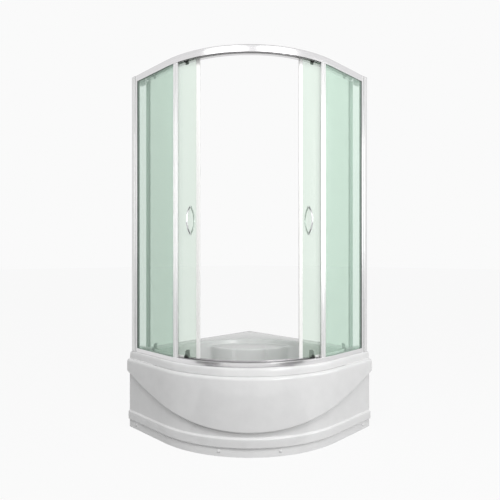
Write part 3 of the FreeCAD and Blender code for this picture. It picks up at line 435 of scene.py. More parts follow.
def softened(corners: Outline, radius: Union[float, Sequence[float]], steps: int = 3) -> Outline:
    """Round the corners of a closed outline.

    Args:
        corners: its sharp corners.
        radius: one rounding for all corners, or one for each.
        steps: points per rounded corner, less one.

    Returns:
        The rounded outline.
    """
    points: Outline = []
    for number, corner in enumerate(corners):
        size = radius if isinstance(radius, (int, float)) else radius[number]
        here = Vector(corner)
        back = Vector(corners[number - 1]) - here
        ahead = Vector(corners[(number + 1) % len(corners)]) - here
        if size <= 0.0:
            points.append(corner)
            continue
        reach = min(size, 0.45 * back.length, 0.45 * ahead.length)
        start, stop = here + back.normalized() * reach, here + ahead.normalized() * reach
        for step in range(steps + 1):
            s = step / steps
            spot = start * (1 - s) ** 2 + here * (2 * s * (1 - s)) + stop * s ** 2
            points.append((spot.x, spot.y))
    return points


def bent(name: str, section: Outline, marks: Sequence[float], place: Matrix = FRONT) -> Piece:
    """A closed outline of radius and height, bent along the front through the marks."""
    rings = [[place @ Vector((*front_point(radius, mark), z)) for radius, z in section] for mark in marks]
    return skin(name, rings)


def sheet(name: str, node: str, radii: Point, marks: Sequence[float], edge: tuple[float, int],
          place: Matrix = FRONT) -> Piece:
    """A plain sheet bent along the front, as high as a CAD node.

    Args:
        name: the new object's name.
        node: the CAD node that gives its height.
        radii: its inner and outer radius.
        marks: where along the front it runs.
        edge: the rounding of its long edges, and the steps of it.
        place: the frame it is bent in.

    Returns:
        The new object.
    """
    (inner, outer), (low, high) = radii, heights(node)
    corners = [(inner, low), (outer, low), (outer, high), (inner, high)]
    return bent(name, softened(corners, *edge), marks, place)


def upright(name: str, plan: Outline, node: str, place: Matrix = FRONT) -> Piece:
    """A closed plan outline in the place's x and y, standing as high as a CAD node."""
    return skin(name, [[place @ Vector((x, y, z)) for x, y in plan] for z in heights(node)])


def spun(name: str, profile: Outline, place: Matrix, steps: int = 40) -> Piece:
    """A closed (radius, z) profile turned about the place's z axis.

    Args:
        name: the new object's name.
        profile: closed outline of radius and height.
        place: the frame whose z axis it turns about.
        steps: faces round the turn.

    Returns:
        The new object.
    """
    rings = []
    for step in range(steps + 1):
        angle = math.tau * step / steps
        rings.append([place @ Vector((r * math.cos(angle), r * math.sin(angle), z)) for r, z in profile])
    return skin(name, rings, capped=False)


def joined(name: str, pieces: Sequence[Piece]) -> Piece:
    """One object of several, which are used up.

    Args:
        name: the new object's name.
        pieces: objects with meshes in row metres.

    Returns:
        The new object.
    """
    work = bmesh.new()
    for piece in pieces:
        work.from_mesh(piece.data)
        bpy.data.objects.remove(piece)
    mesh = bpy.data.meshes.new(name)
    work.to_mesh(mesh)
    work.free()
    return object_of(name, mesh)


def mirrored(piece: Piece, name: str) -> Piece:
    """The piece's twin across the diagonal of the footprint.

    Args:
        piece: a left-hand piece.
        name: the twin's name.

    Returns:
        The right-hand piece.
    """
    mesh = piece.data.copy()
    mesh.transform(MIRROR)
    mesh.flip_normals()
    return object_of(name, mesh)


def both_sides(name: str, pieces: Sequence[Piece]) -> Piece:
    """One object of left-hand pieces and their right-hand twins."""
    left = joined(f"{name}_left", pieces)
    return joined(name, [left, mirrored(left, f"{name}_right")])


def baked(piece: Piece) -> Piece:
    """Apply the piece's modifiers and take them off.

    Args:
        piece: an object with live modifiers.

    Returns:
        The same object with a plain mesh.
    """
    graph = bpy.context.evaluated_depsgraph_get()
    mesh = bpy.data.meshes.new_from_object(piece.evaluated_get(graph))
    piece.modifiers.clear()
    piece.data = mesh
    return piece


def bevelled(piece: Piece, width: float, segments: int = 2) -> Piece:
    """Break the piece's sharp edges.

    Args:
        piece: a closed piece with merged points.
        width: bevel width in millimetres.
        segments: faces across the bevel.

    Returns:
        The same object with the bevels in its mesh.
    """
    modifier = piece.modifiers.new("edge", "BEVEL")
    modifier.width = width * MM
    modifier.segments = segments
    modifier.limit_method = "ANGLE"
    modifier.angle_limit = math.radians(35.0)
    return baked(piece)


def thickened(piece: Piece, wall: float, out: Point3) -> Piece:
    """Turn an open sheet's face one way and put its wall thickness behind it.

    Args:
        piece: a sheet whose normals agree.
        wall: thickness in millimetres.
        out: the way that most of its face looks.

    Returns:
        The same object as a closed shell.
    """
    facing = sum(face.normal.dot(out) * face.area for face in piece.data.polygons)
    if facing < 0.0:
        piece.data.flip_normals()
    modifier = piece.modifiers.new("wall", "SOLIDIFY")
    modifier.thickness = wall * MM
    modifier.offset = -1.0
    return baked(piece)


def refined(node: str, width: float) -> Piece:
    """A merged copy of a CAD node with its edges broken.

    Args:
        node: the node's name.
        width: bevel width in millimetres.

    Returns:
        The new object.
    """
    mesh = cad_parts[node].data.copy()
    work = bmesh.new()
    work.from_mesh(mesh)
    bmesh.ops.remove_doubles(work, verts=work.verts, dist=MERGED)
    bmesh.ops.dissolve_limit(work, angle_limit=math.radians(1.0), verts=work.verts, edges=work.edges)
    work.to_mesh(mesh)
    work.free()
    return bevelled(object_of(f"fine_{node}", mesh), width, 2)


def dress(piece: Piece, surface: Surface, node: str, body: str = ENCLOSURE,
          crease: float = 32.0) -> Piece:
    """Shade the piece, give it its finish and put it on its body in place of a CAD node.

    Args:
        piece: the finished mesh object.
        surface: its finish.
        node: the CAD node that it stands for.
        body: the body that it rides on.
        crease: edges sharper than this many degrees stay sharp.

    Returns:
        The same object.
    """
    piece.data.materials.clear()
    piece.data.materials.append(surface.material)
    piece.data.shade_smooth()
    piece.data.set_sharp_from_angle(angle=math.radians(crease))
    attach(piece, body)
    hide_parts(node)
    LOG.info("%s rides on %s, %d faces", piece.name, body, len(piece.data.polygons))
    return piece


def dress_refined(node: str, width: float, surface: Surface) -> None:
    """Finish a copy of one of the enclosure's CAD nodes, its edges broken by a bevel of this width."""
    dress(refined(node, width), surface, node)


def dress_pair(piece: Piece, surface: Surface, stem: str, body: str = ENCLOSURE,
               crease: float = 32.0) -> None:
    """Finish a left-hand piece and its right-hand twin.

    Args:
        piece: the left-hand piece, in row metres, whose name ends in the side.
        surface: the finish of both.
        stem: the CAD nodes' name without the side.
        body: the body's name; a star in it stands for the side.
        crease: edges sharper than this many degrees stay sharp.
    """
    twin = mirrored(piece, f"{piece.name.removesuffix('_left')}_right")
    for side, one in (("left", piece), ("right", twin)):
        dress(one, surface, f"{stem}_{side}", body.replace("*", side), crease)


# ---------------------------------------------------------------- geometry trees

def grown(name: str, tree: bpy.types.NodeTree, values: dict[str, object],
          base: Optional[bpy.types.Mesh] = None) -> Piece:
    """Run a geometry tree and keep its result as a plain mesh.

    Args:
        name: the new object's name.
        tree: a tree whose inputs are named.
        values: the inputs by name.
        base: the mesh that the tree starts from, if it needs one.

    Returns:
        The new object, with no modifier left on it.
    """
    piece = object_of(name, base or bpy.data.meshes.new(name))
    modifier = piece.modifiers.new("grow", "NODES")
    modifier.node_group = tree
    for item in tree.interface.items_tree:
        if item.name in values:
            modifier[item.identifier] = values[item.name]
    return baked(piece)


def open_tree(name: str, inputs: dict[str, tuple[str, object]]) -> tuple[bpy.types.NodeTree, bpy.types.Node]:
    """A geometry tree with its sockets declared.

    Args:
        name: the tree's name.
        inputs: socket type and default by name, besides the geometry.

    Returns:
        The tree and its input node.
    """
    tree = bpy.data.node_groups.new(name, "GeometryNodeTree")
    tree.interface.new_socket("Geometry", in_out="INPUT", socket_type="NodeSocketGeometry")
    for socket, (kind, value) in inputs.items():
        item = tree.interface.new_socket(socket, in_out="INPUT", socket_type=kind)
        if value is not None:
            item.default_value = value
    tree.interface.new_socket("Geometry", in_out="OUTPUT", socket_type="NodeSocketGeometry")
    return tree, add(tree, "NodeGroupInput")


def close_tree(tree: bpy.types.NodeTree, shape: bpy.types.NodeSocket, surface: Surface) -> bpy.types.NodeTree:
    """End a tree: its instances made real and its finish set.

    Args:
        tree: a tree without an output.
        shape: the geometry that it made.
        surface: the finish.

    Returns:
        The same tree.
    """
    solid = add(tree, "GeometryNodeRealizeInstances", {}, {"Geometry": shape})
    skinned = add(tree, "GeometryNodeSetMaterial", {}, {
        "Geometry": solid.outputs["Geometry"], "Material": surface.material})
    add(tree, "NodeGroupOutput", {}, {"Geometry": skinned.outputs["Geometry"]})
    return tree


def fastener_tree(surface: Surface) -> bpy.types.NodeTree:
    """One small part repeated at every point, each with the turn that its point carries.

    Args:
        surface: the finish of the small parts.

    Returns:
        A tree with the inputs Part and Size.
    """
    tree, given = open_tree(f"fasteners_{surface.name.lower()}", {
        "Part": ("NodeSocketObject", None), "Size": ("NodeSocketFloat", 1.0)})
    part = add(tree, "GeometryNodeObjectInfo", {}, {"Object": given.outputs["Part"]})
    turn = add(tree, "GeometryNodeInputNamedAttribute", {"data_type": "FLOAT_VECTOR"}, {"Name": "turn"})
    rows = add(tree, "GeometryNodeInstanceOnPoints", {}, {
        "Points": given.outputs["Geometry"], "Instance": part.outputs["Geometry"],
        "Rotation": turn.outputs["Attribute"], "Scale": given.outputs["Size"]})
    return close_tree(tree, rows.outputs["Instances"], surface)


def bow_tree() -> bpy.types.NodeTree:
    """A round bar bent to an arc in the XZ plane, a little thinner towards its ends.

    Returns:
        A tree with the inputs Bow Radius, Half Angle, Rod Radius and End Share.
    """
    tree, given = open_tree("bow_bar", {
        "Bow Radius": ("NodeSocketFloat", 0.0876), "Half Angle": ("NodeSocketFloat", 0.85),
        "Rod Radius": ("NodeSocketFloat", 0.0045), "End Share": ("NodeSocketFloat", 0.7)})
    start = add(tree, "ShaderNodeMath", {"operation": "MULTIPLY"}, {0: given.outputs["Half Angle"], 1: -1.0})
    sweep = add(tree, "ShaderNodeMath", {"operation": "MULTIPLY"}, {0: given.outputs["Half Angle"], 1: 2.0})
    arc = add(tree, "GeometryNodeCurveArc", {}, {
        "Resolution": 41, "Radius": given.outputs["Bow Radius"],
        "Start Angle": start.outputs["Value"], "Sweep Angle": sweep.outputs["Value"]})
    along = add(tree, "GeometryNodeSplineParameter")
    ends = [add(tree, "ShaderNodeMapRange", {"interpolation_type": "SMOOTHSTEP"}, {
        "Value": along.outputs["Factor"], "From Min": tip, "From Max": full,
        "To Min": given.outputs["End Share"], "To Max": 1.0}) for tip, full in ((0.0, 0.4), (1.0, 0.6))]
    share = add(tree, "ShaderNodeMath", {"operation": "MULTIPLY"}, {
        number: end.outputs["Result"] for number, end in enumerate(ends)})
    sized = add(tree, "GeometryNodeSetCurveRadius", {}, {
        "Curve": arc.outputs["Curve"], "Radius": share.outputs["Value"]})
    ring = add(tree, "GeometryNodeCurvePrimitiveCircle", {}, {
        "Resolution": 24, "Radius": given.outputs["Rod Radius"]})
    bar = add(tree, "GeometryNodeCurveToMesh", {}, {
        "Curve": sized.outputs["Curve"], "Profile Curve": ring.outputs["Curve"], "Fill Caps": True})
    return close_tree(tree, bar.outputs["Mesh"], Surface.CHROME)


def pile_tree() -> bpy.types.NodeTree:
    """Tufts of brush pile on every point, each leaning a little.

    Returns:
        A tree with the inputs Tuft Length, Tuft Radius, Lean and Seed.
    """
    tree, given = open_tree("brush_pile", {
        "Tuft Length": ("NodeSocketFloat", 0.0022), "Tuft Radius": ("NodeSocketFloat", 0.0012),
        "Lean": ("NodeSocketFloat", 0.1), "Seed": ("NodeSocketInt", 7)})
    tuft = add(tree, "GeometryNodeMeshCone", {}, {
        "Vertices": 5, "Radius Top": 0.0004, "Radius Bottom": given.outputs["Tuft Radius"],
        "Depth": given.outputs["Tuft Length"]})
    turn = add(tree, "GeometryNodeInputNamedAttribute", {"data_type": "FLOAT_VECTOR"}, {"Name": "turn"})
    back = add(tree, "ShaderNodeMath", {"operation": "MULTIPLY"}, {0: given.outputs["Lean"], 1: -1.0})
    low = add(tree, "ShaderNodeCombineXYZ", {}, {0: back.outputs["Value"], 1: back.outputs["Value"], 2: 0.0})
    high = add(tree, "ShaderNodeCombineXYZ", {}, {0: given.outputs["Lean"], 1: given.outputs["Lean"], 2: 3.0})
    lean = add(tree, "FunctionNodeRandomValue", {"data_type": "FLOAT_VECTOR"}, {
        0: low.outputs["Vector"], 1: high.outputs["Vector"], "Seed": given.outputs["Seed"]})
    tufts = add(tree, "GeometryNodeInstanceOnPoints", {}, {
        "Points": given.outputs["Geometry"], "Instance": tuft.outputs["Mesh"],
        "Rotation": turn.outputs["Attribute"]})
    leaning = add(tree, "GeometryNodeRotateInstances", {}, {
        "Instances": tufts.outputs["Instances"], "Rotation": lean.outputs["Value"]})
    return close_tree(tree, leaning.outputs["Instances"], Surface.PILE)


def turned_points(name: str, places: Sequence[Matrix]) -> bpy.types.Mesh:
    """Loose points, each with the turn of its place.

    Args:
        name: the mesh's name.
        places: where the points sit and how they are turned, scaled to millimetres.

    Returns:
        The mesh of points.
    """
    mesh = bpy.data.meshes.new(name)
    mesh.from_pydata([tuple(place.translation) for place in places], [], [])
    turns = mesh.attributes.new("turn", "FLOAT_VECTOR", "POINT")
    for number, place in enumerate(places):
        turns.data[number].vector = tuple(place.normalized().to_euler())
    return mesh


# ---------------------------------------------------------------- rails

@dataclass
class Rails:
    """Bent aluminium extrusions over and under the glass, with the blocks at their ends.

    Attributes:
        face: radius of the front face.
        back: radius of the back face.
        wall: thickness of the metal.
        divider: radius of the web between the glass slot and the wheel channel.
        lip: outer radius of the wheel channel.
        lip_edge: thickness and height of the upturned edge of the top rail's track.
        crown: thickness of the top rail's crown, in walls.
        slot_floor: height of the glass slot's floor over the bottom rail's foot.
        top_track: height of the upper track over the rail's foot.
        low_track: height of the lower track over the rail's foot.
        wall_gap: how far the rails stop short of the straight sides.
    """

    face: float = 600.0
    back: float = 538.0
    wall: float = 1.6
    divider: float = 588.0
    lip: float = 558.0
    lip_edge: Point = (1.0, 1.5)
    crown: float = 2.5
    slot_floor: float = 5.6
    top_track: float = 11.0
    low_track: float = 16.2
    wall_gap: float = 50.0

    def build(self) -> None:
        """Make the rails and their end blocks."""
        reach = END_MARK - self.wall_gap
        marks = front_marks(-reach, reach)
        section = self.top_section()
        top = dress(bent("top_rail_extrusion", section, marks), Surface.RAIL, "top_rail")
        self.lighten_channel(top, section)
        dress(bent("bottom_rail_extrusion", self.bottom_section(), marks), Surface.RAIL, "bottom_rail")
        dress_refined("rail_corner_blocks", 0.6, Surface.PALE_NYLON)
        dress_refined("rail_screws", 0.2, Surface.ZINC)
        dress_refined("door_stops", 1.0, Surface.RUBBER)

    def lighten_channel(self, rail: Piece, section: Outline) -> None:
        """Give the inside of the top rail's wheel channel a paler, matt copy of the rail's metal, painted
        light that lifts its shade.

        Args:
            rail: the bent rail, whose faces follow the section round and round.
            section: its outline.
        """
        # painted light: the channel's faces take the paler copy of the metal, which lifts their shade
        rail.data.materials.append(Surface.RAIL_INSIDE.material)
        high = heights("top_rail")[1]
        for polygon in rail.data.polygons[:-2]:
            spot = polygon.index % len(section)
            ends = (section[spot], section[(spot + 1) % len(section)])
            inside = all(self.back + 0.5 < radius < self.divider + 0.5 and z < high - 0.5
                         for radius, z in ends)
            polygon.material_index = int(inside)

    def top_section(self) -> Outline:
        """The top rail's radius and height outline, its front crown rounded."""
        low, high = heights("top_rail")
        wall, track, crown = self.wall, low + self.top_track, high - self.wall * self.crown
        edge, rise = self.lip_edge
        corners = [
            (self.face, low), (self.face, high), (self.back, high), (self.back, track - wall),
            (self.lip, track - wall), (self.lip, track + rise), (self.lip - edge, track + rise),
            (self.lip - edge, track), (self.back + wall, track), (self.back + wall, high - wall),
            (self.divider, high - wall), (self.divider, low), (self.divider + wall, low),
            (self.divider + wall, crown), (self.face - wall, crown), (self.face - wall, low),
        ]
        rounding = [0.5, 3.2, 1.2] + [0.4] * (len(corners) - 3)
        return softened(corners, rounding, 4)

    def bottom_section(self) -> Outline:
        """The bottom rail's radius and height outline, its front face a little crowned."""
        low, high = heights("bottom_rail")
        wall, track, slot = self.wall, low + self.low_track, low + self.slot_floor
        face = [(self.face - 0.5, low), (self.face - 0.05, low + 4.0), (self.face, low + 11.0),
                (self.face - 0.05, high - 5.0), (self.face - 0.4, high)]
        inside = [
            (self.face - wall, high), (self.face - wall, slot), (self.divider + wall, slot),
            (self.divider + wall, high), (self.divider, high), (self.divider, low + wall),
            (self.back + wall, low + wall), (self.back + wall, track - wall), (self.lip, track - wall),
            (self.lip, high), (self.lip - wall, high), (self.lip - wall, track),
            (self.back + wall, track), (self.back + wall, high), (self.back, high), (self.back, low),
        ]
        rounding = [0.3, 0.0, 0.0, 0.0, 0.5] + [0.35] * len(inside)
        return softened(face + inside, rounding, 3)


# ---------------------------------------------------------------- fixed panels

@dataclass
class FixedPanels:
    """The two fixed panes with their edge profiles, stiles, channels, gaskets and brushes.

    Attributes:
        glass: inner radius of the panes.
        thickness: of the glass.
        edge_start: angle where the edge profile begins.
        edge_width: degrees that the edge profile covers.
        glass_inset: degrees from the profile's edge to the glass.
        wall_gap: distance of the panes from the straight sides.
        gasket_span: the far and the near end of the gaskets, from the straight sides.
        brush_gap: radial gap from the panes to the brushes' carriers.
        carrier: thickness of the carriers.
        tuft: length of the tufts of pile, which stand on the carriers.
        tuft_pitch: height from tuft to tuft.
        tuft_rows: degrees from the edge profile's start to the rows that the tufts take in turn.
    """

    glass: float = 591.3
    thickness: float = 5.0
    edge_start: float = 36.8
    edge_width: float = 3.1
    glass_inset: float = 1.2
    wall_gap: float = 38.0
    gasket_span: Point = (57.0, 37.2)
    brush_gap: float = 1.45
    carrier: float = 0.5
    tuft: float = 1.85
    tuft_pitch: float = 4.0
    tuft_rows: Point3 = (0.30, 0.45, 0.60)

    def build(self) -> None:
        """Make every piece of both panels."""
        dress_pair(self.pane(), Surface.FIXED_GLASS, "fixed_glass")
        dress_pair(self.edge_profile(), Surface.UPRIGHT, "panel_edge_profile")
        for stem in ("panel_stile", "wall_channel"):
            dress_pair(refined(f"{stem}_left", 0.35), Surface.UPRIGHT, stem)
        self.gaskets()
        self.brushes()

    def pane(self) -> Piece:
        """The left pane: part of the curve and most of the straight run, edges ground."""
        marks = front_marks(self.edge_start + self.glass_inset, END_MARK - self.wall_gap, PANE_STEP)
        radii = (self.glass, self.glass + self.thickness)
        return sheet("fixed_pane_left", "fixed_glass_left", radii, marks, GROUND_EDGE)

    def edge_profile(self) -> Piece:
        """The profile on the pane's free edge, with a shallow groove down each side of its face."""
        inner, outer = self.glass - 1.4, self.glass + self.thickness + 1.8
        start, stop = self.edge_start, self.edge_start + self.edge_width
        slot = start + self.glass_inset - 0.05
        face = [(outer, start), (outer, start + 0.42)]
        face += [(outer - 1.2, start + 0.46), (outer - 1.2, start + 0.60), (outer, start + 0.64)]
        face += [(outer, stop - 0.66), (outer - 1.2, stop - 0.62), (outer - 1.2, stop - 0.42)]
        face += [(outer, stop - 0.38), (outer, stop)]
        inside = [(outer - 1.7, stop), (outer - 1.7, slot), (inner + 1.3, slot), (inner + 1.3, stop),
                  (inner, stop), (inner, start)]
        plan = [front_point(radius, angle) for radius, angle in face + inside]
        rounding = [1.0] + [0.1] * 8 + [0.8] + [0.2] * 4 + [0.6, 1.0]
        return upright("edge_profile_left", softened(plan, rounding, 3), "panel_edge_profile_left")

    def gaskets(self) -> None:
        """Rubber lips that hold the panes in the stiles, in front of the glass and behind it."""
        marks = [END_MARK - gap for gap in self.gasket_span]
        lips = []
        for radii in ((self.glass - 4.6, self.glass - 0.1), (self.glass + 5.1, self.glass + 6.2)):
            lips.append(bevelled(sheet("gasket_lip", "stile_gaskets", radii, marks, (0.4, 2)), 0.4))
        dress(both_sides("stile_gasket_lips", lips), Surface.RUBBER, "stile_gaskets")

    def brushes(self) -> None:
        """Draught brushes behind the edge profiles: a carrier and rows of leaning tufts."""
        low, high = heights("panel_brushes")
        root, back = self.glass - self.brush_gap, self.glass - self.brush_gap - self.carrier
        start, stop = self.edge_start + 0.2, self.edge_start + 0.7
        plan = [front_point(*spot) for spot in ((root, start), (root, stop), (back, stop), (back, start))]
        strip = upright("brush_carrier_left", plan, "panel_brushes")
        places = []
        for number in range(int((high - low) / self.tuft_pitch)):
            stand = turned(FRONT, self.edge_start + self.tuft_rows[number % len(self.tuft_rows)])
            foot = Matrix.Translation((0.0, 0.4 - root, low + self.tuft_pitch * (number + 0.5)))
            places.append(stand @ foot @ Matrix.Rotation(math.radians(-90.0), 4, "X"))
        tufts = grown("brush_tufts_left", pile_tree(), {
            "Tuft Length": self.tuft * MM, "Tuft Radius": 0.0012, "Lean": 0.08, "Seed": 7},
            turned_points("tuft_roots", places))
        dress(both_sides("draught_brushes", [strip, tufts]), Surface.PILE, "panel_brushes")


# ---------------------------------------------------------------- tray

@dataclass
class Tray:
    """The acrylic tray as one moulded sheet: lip, rim, raised side ledges, corner seat and basin.

    Attributes:
        lip: radius of the lip's foot on the curve.
        side: width of the ledges beside the straight sides.
        rim_z: height of the rim that carries the rail.
        lip_z: height of the lip's foot.
        back_centre: distance of the back curve's axis from the square corner.
        seat_centre: distance of the seat edge's axis from the square corner.
        seat_radius: radius of the seat's edge.
        front: radius of the basin's front wall.
        corner: plan radius of the basin's front corners.
        ledge_z: height of the ledges at the straight sides.
        seat_z: height of the seat.
        floor_z: height of the basin's floor.
        foot_z: height where the walls begin to round into the floor.
        foot_run: how far that rounding reaches.
        draft: how far the walls lean in per millimetre of depth.
        drain_y: the drain's place on the front frame's y axis.
        drain_radius: the drain's radius.
        scoop: half width, height and depth of the hollow in the seat's front.
        stations: along a straight side, what lies beside the seat's end, the back curve's end and
            the start of the front corner.
        wall: thickness of the sheet.
    """

    lip: float = 613.5
    side: float = 95.0
    back_centre: float = 780.0
    seat_centre: float = 234.0
    seat_radius: float = 285.0
    front: float = 530.0
    corner: float = 60.0
    rim_z: float = 418.0
    lip_z: float = 381.0
    ledge_z: float = 428.0
    seat_z: float = 399.0
    floor_z: float = 130.0
    foot_z: float = 172.0
    foot_run: float = 34.0
    draft: float = 0.07
    drain_y: float = -330.0
    drain_radius: float = 45.0
    scoop: Point3 = (98.0, 150.0, 16.0)
    stations: Point3 = (300.0, 551.0, 800.0)
    wall: float = 4.5

    BACK_STEPS = 30
    SIDE_STEPS = 8
    FRONT_STEPS = 30

    def build(self) -> None:
        """Make the tray."""
        rings = self.rim_rings() + self.basin_rings() + self.drain_rings()
        full = [ring + [Vector((-p.x, p.y, p.z)) for p in reversed(ring[1:-1])] for ring in rings]
        shell = skin("tray_shell", [[FRONT @ p for p in ring] for ring in full], capped=False)
        dress(thickened(shell, self.wall, (0.0, 0.0, 1.0)), Surface.ACRYLIC, "shower_tray", crease=50.0)

    def outer_half(self, radius: float, gap: float, front_z: float, side_z: float) -> Ring:
        """Half of the outer outline, from the square corner round to the middle of the front.

        Args:
            radius: of the curved front.
            gap: distance from the straight sides.
            front_z: height along the front.
            side_z: height along the straight sides.

        Returns:
            The points of the half ring.
        """
        reach = radius + FLAT_RUN
        seat_end, curve_end, bend = self.stations
        along = []
        for start, stop, steps in ((gap, seat_end, self.BACK_STEPS), (seat_end, curve_end, self.SIDE_STEPS),
                                   (curve_end, bend, self.SIDE_STEPS)):
            along += [start + (stop - start) * i / steps for i in range(steps)]
        along += [bend + ahead for ahead in (0.0, 15.0, 30.0, 43.0, 55.0)]
        ring = [Vector((*wall_point(gap, d), side_z)) for d in along]
        turn = [(gap, bend + 62.0)] + [(across, reach) for across in (gap, 75.0, 155.0, 240.0)]
        ring += [Vector((*wall_point(*spot), front_z)) for spot in turn]
        ring += [Vector((*front_point(radius, 45.0 - 45.0 * i / self.FRONT_STEPS), front_z))
                 for i in range(self.FRONT_STEPS + 1)]
        return ring

    def inner_half(self, grow: float, front_z: float, side_z: float, back: Optional[Point] = None,
                   seat: Optional[Point] = None) -> Ring:
        """Half of a basin outline, point for point beside the outer one.

        Args:
            grow: how far it lies outside the basin's top edge; negative further in.
            front_z: height along the front.
            side_z: height along the back and the sides.
            back: its own growth and height behind the seat, if the back wall ends on the seat.
            seat: growth and height of the seat's edge, where the back follows it.

        Returns:
            The points of the half ring.
        """
        side = self.side - grow
        rim = self.back_centre * ROOT_HALF - side
        edge = self.seat_radius - (seat[0] if seat else grow)
        squares = self.back_centre ** 2 - self.seat_centre ** 2 - rim ** 2 + edge ** 2
        meet_v = squares / (self.back_centre - self.seat_centre) / 2.0
        meet_u = math.sqrt(edge ** 2 - (meet_v - self.seat_centre) ** 2)
        bend, spread = math.asin(meet_u / rim), math.acos((meet_v - self.seat_centre) / edge)
        behind = rim + (back[0] - grow if back else 0.0)
        back_z = back[1] if back else side_z
        ring = []
        for step in range(self.BACK_STEPS):
            share = step / self.BACK_STEPS
            if seat:
                u, v = edge * math.sin(spread * share), self.seat_centre + edge * math.cos(spread * share)
                v -= self.hollow(u, seat[1])
                ring.append(Vector((-u, CORNER_Y - v, seat[1])))
            else:
                u, v = behind * math.sin(bend * share), self.back_centre - behind * math.cos(bend * share)
                ring.append(Vector((-u, CORNER_Y - v, back_z)))
        for step in range(self.SIDE_STEPS):
            angle = bend + (math.pi / 4 - bend) * step / self.SIDE_STEPS
            u, v = rim * math.sin(angle), self.back_centre - rim * math.cos(angle)
            ring.append(Vector((-u, CORNER_Y - v, side_z)))
        if seat:
            ring = self.eased(ring)
        reach = self.front + grow + FLAT_RUN
        corner = self.corner + grow
        start, stop = self.back_centre * ROOT_HALF, reach - corner
        for step in range(self.SIDE_STEPS):
            ring.append(Vector((*wall_point(side, start + (stop - start) * step / self.SIDE_STEPS), side_z)))
        for step, angle in enumerate(quarter(8)):
            spot = wall_point(side + corner * (1 - math.cos(angle)), stop + corner * math.sin(angle))
            ring.append(Vector((*spot, side_z if step < 5 else front_z)))
        ring.append(Vector((*wall_point((side + corner + FLAT_RUN) / 2.0, reach), front_z)))
        ring += [Vector((*front_point(self.front + grow, 45.0 - 45.0 * i / self.FRONT_STEPS), front_z))
                 for i in range(self.FRONT_STEPS + 1)]
        return ring

    def rim_rings(self) -> list[Ring]:
        """Lip, its rounded shoulder and the flat rim."""
        rim, ledge, lip = self.rim_z, self.ledge_z, self.lip
        return [
            self.outer_half(lip, 0.0, self.lip_z, self.lip_z),
            self.outer_half(lip - 1.0, 0.0, rim - 16.0, ledge - 10.0),
            self.outer_half(lip - 2.6, 0.0, rim - 6.0, ledge - 4.0),
            self.outer_half(lip - 4.2, 0.3, rim - 2.6, ledge - 1.6),
            self.outer_half(lip - 6.8, 1.4, rim - 0.7, ledge - 0.5),
            self.outer_half(lip - 10.0, 3.4, rim, ledge),
        ]

    def basin_rings(self) -> list[Ring]:
        """Rounded well edge, seat, leaning walls and the rounded foot of the walls."""
        rim, ledge, seat, floor = self.rim_z, self.ledge_z, self.seat_z, self.floor_z
        rings = [
            self.inner_half(9.0, rim, ledge),
            self.inner_half(4.2, rim - 1.0, ledge - 1.0),
            self.inner_half(1.0, rim - 3.6, ledge - 3.6),
            self.inner_half(-0.7, rim - 9.0, ledge - 9.0),
        ]
        for z, out, lift in ((seat + 6.0, -1.8, 6.0), (seat + 3.0, -3.2, 1.6), (seat + 1.0, -7.0, 0.0)):
            rings.append(self.inner_half(self.lean(z), z, z, back=(out, seat + lift)))
        top = self.lean(seat)
        for z, out, drop in ((seat - 1.0, 9.0, 0.0), (seat - 3.0, 4.0, 0.8), (seat - 6.0, 0.8, 3.6),
                             (seat - 11.0, -0.6, 9.0)):
            rings.append(self.inner_half(self.lean(z), z, z, seat=(top + out, seat - drop)))
        for z in (*range(380, 300, -8), 280.0, 240.0, self.foot_z):
            rings.append(self.inner_half(self.lean(z), z, z, seat=(self.lean(z), z)))
        foot = self.lean(self.foot_z)
        for out, z in ((2.5, floor + 25.0), (8.0, floor + 12.0), (17.0, floor + 3.5), (28.0, floor + 0.4),
                       (self.foot_run, floor)):
            rings.append(self.inner_half(foot - out, z, z, seat=(foot - out, z)))
        return rings

    def eased(self, ring: Ring) -> Ring:
        """The seat's and the side's stretch of a ring with the corner between them rounded.

        Args:
            ring: the back and side points.

        Returns:
            As many points, moved near the corner.
        """
        rounds, near = 5, 4
        for _ in range(rounds):
            moved = [point.copy() for point in ring]
            for spot in range(self.BACK_STEPS - near, self.BACK_STEPS + near):
                moved[spot] = ring[spot] * 0.5 + (ring[spot - 1] + ring[spot + 1]) * 0.25
            ring = moved
        return ring

    def hollow(self, across: float, z: float) -> float:
        """Depth of the scoop in the middle of the seat's front.

        Args:
            across: distance from the middle.
            z: height.

        Returns:
            How far the wall is set back, in millimetres.
        """
        half, tall, depth = self.scoop
        power, slope, turn_in = 4, 2.2, 0.8    # straight sides, steep flanks, a soft turn into them
        reach = (across / half) ** power + (max(self.seat_z - z, 0.0) / tall) ** power
        return depth * min(max((1.0 - reach) * slope, 0.0), 1.0) ** turn_in

    def lean(self, z: float) -> float:
        """How far the leaning wall stands outside the basin's top edge at a height."""
        return -(self.ledge_z - z) * self.draft

    def drain_rings(self) -> list[Ring]:
        """The floor's run to the drain and the edge turned down into it."""
        foot = self.lean(self.foot_z) - self.foot_run
        outline = self.inner_half(foot, 0.0, 0.0, seat=(foot, 0.0))
        centre = Vector((0.0, self.drain_y, 0.0))
        arms = [(point - centre).normalized() for point in outline]
        return [[centre + arm * radius + Vector((0.0, 0.0, self.floor_z - drop)) for arm in arms]
                for radius, drop in ((110.0, 0.1), (62.0, 0.2), (self.drain_radius + 2.0, 0.3),
                                     (self.drain_radius, 1.6), (self.drain_radius, 5.0))]


# ---------------------------------------------------------------- apron

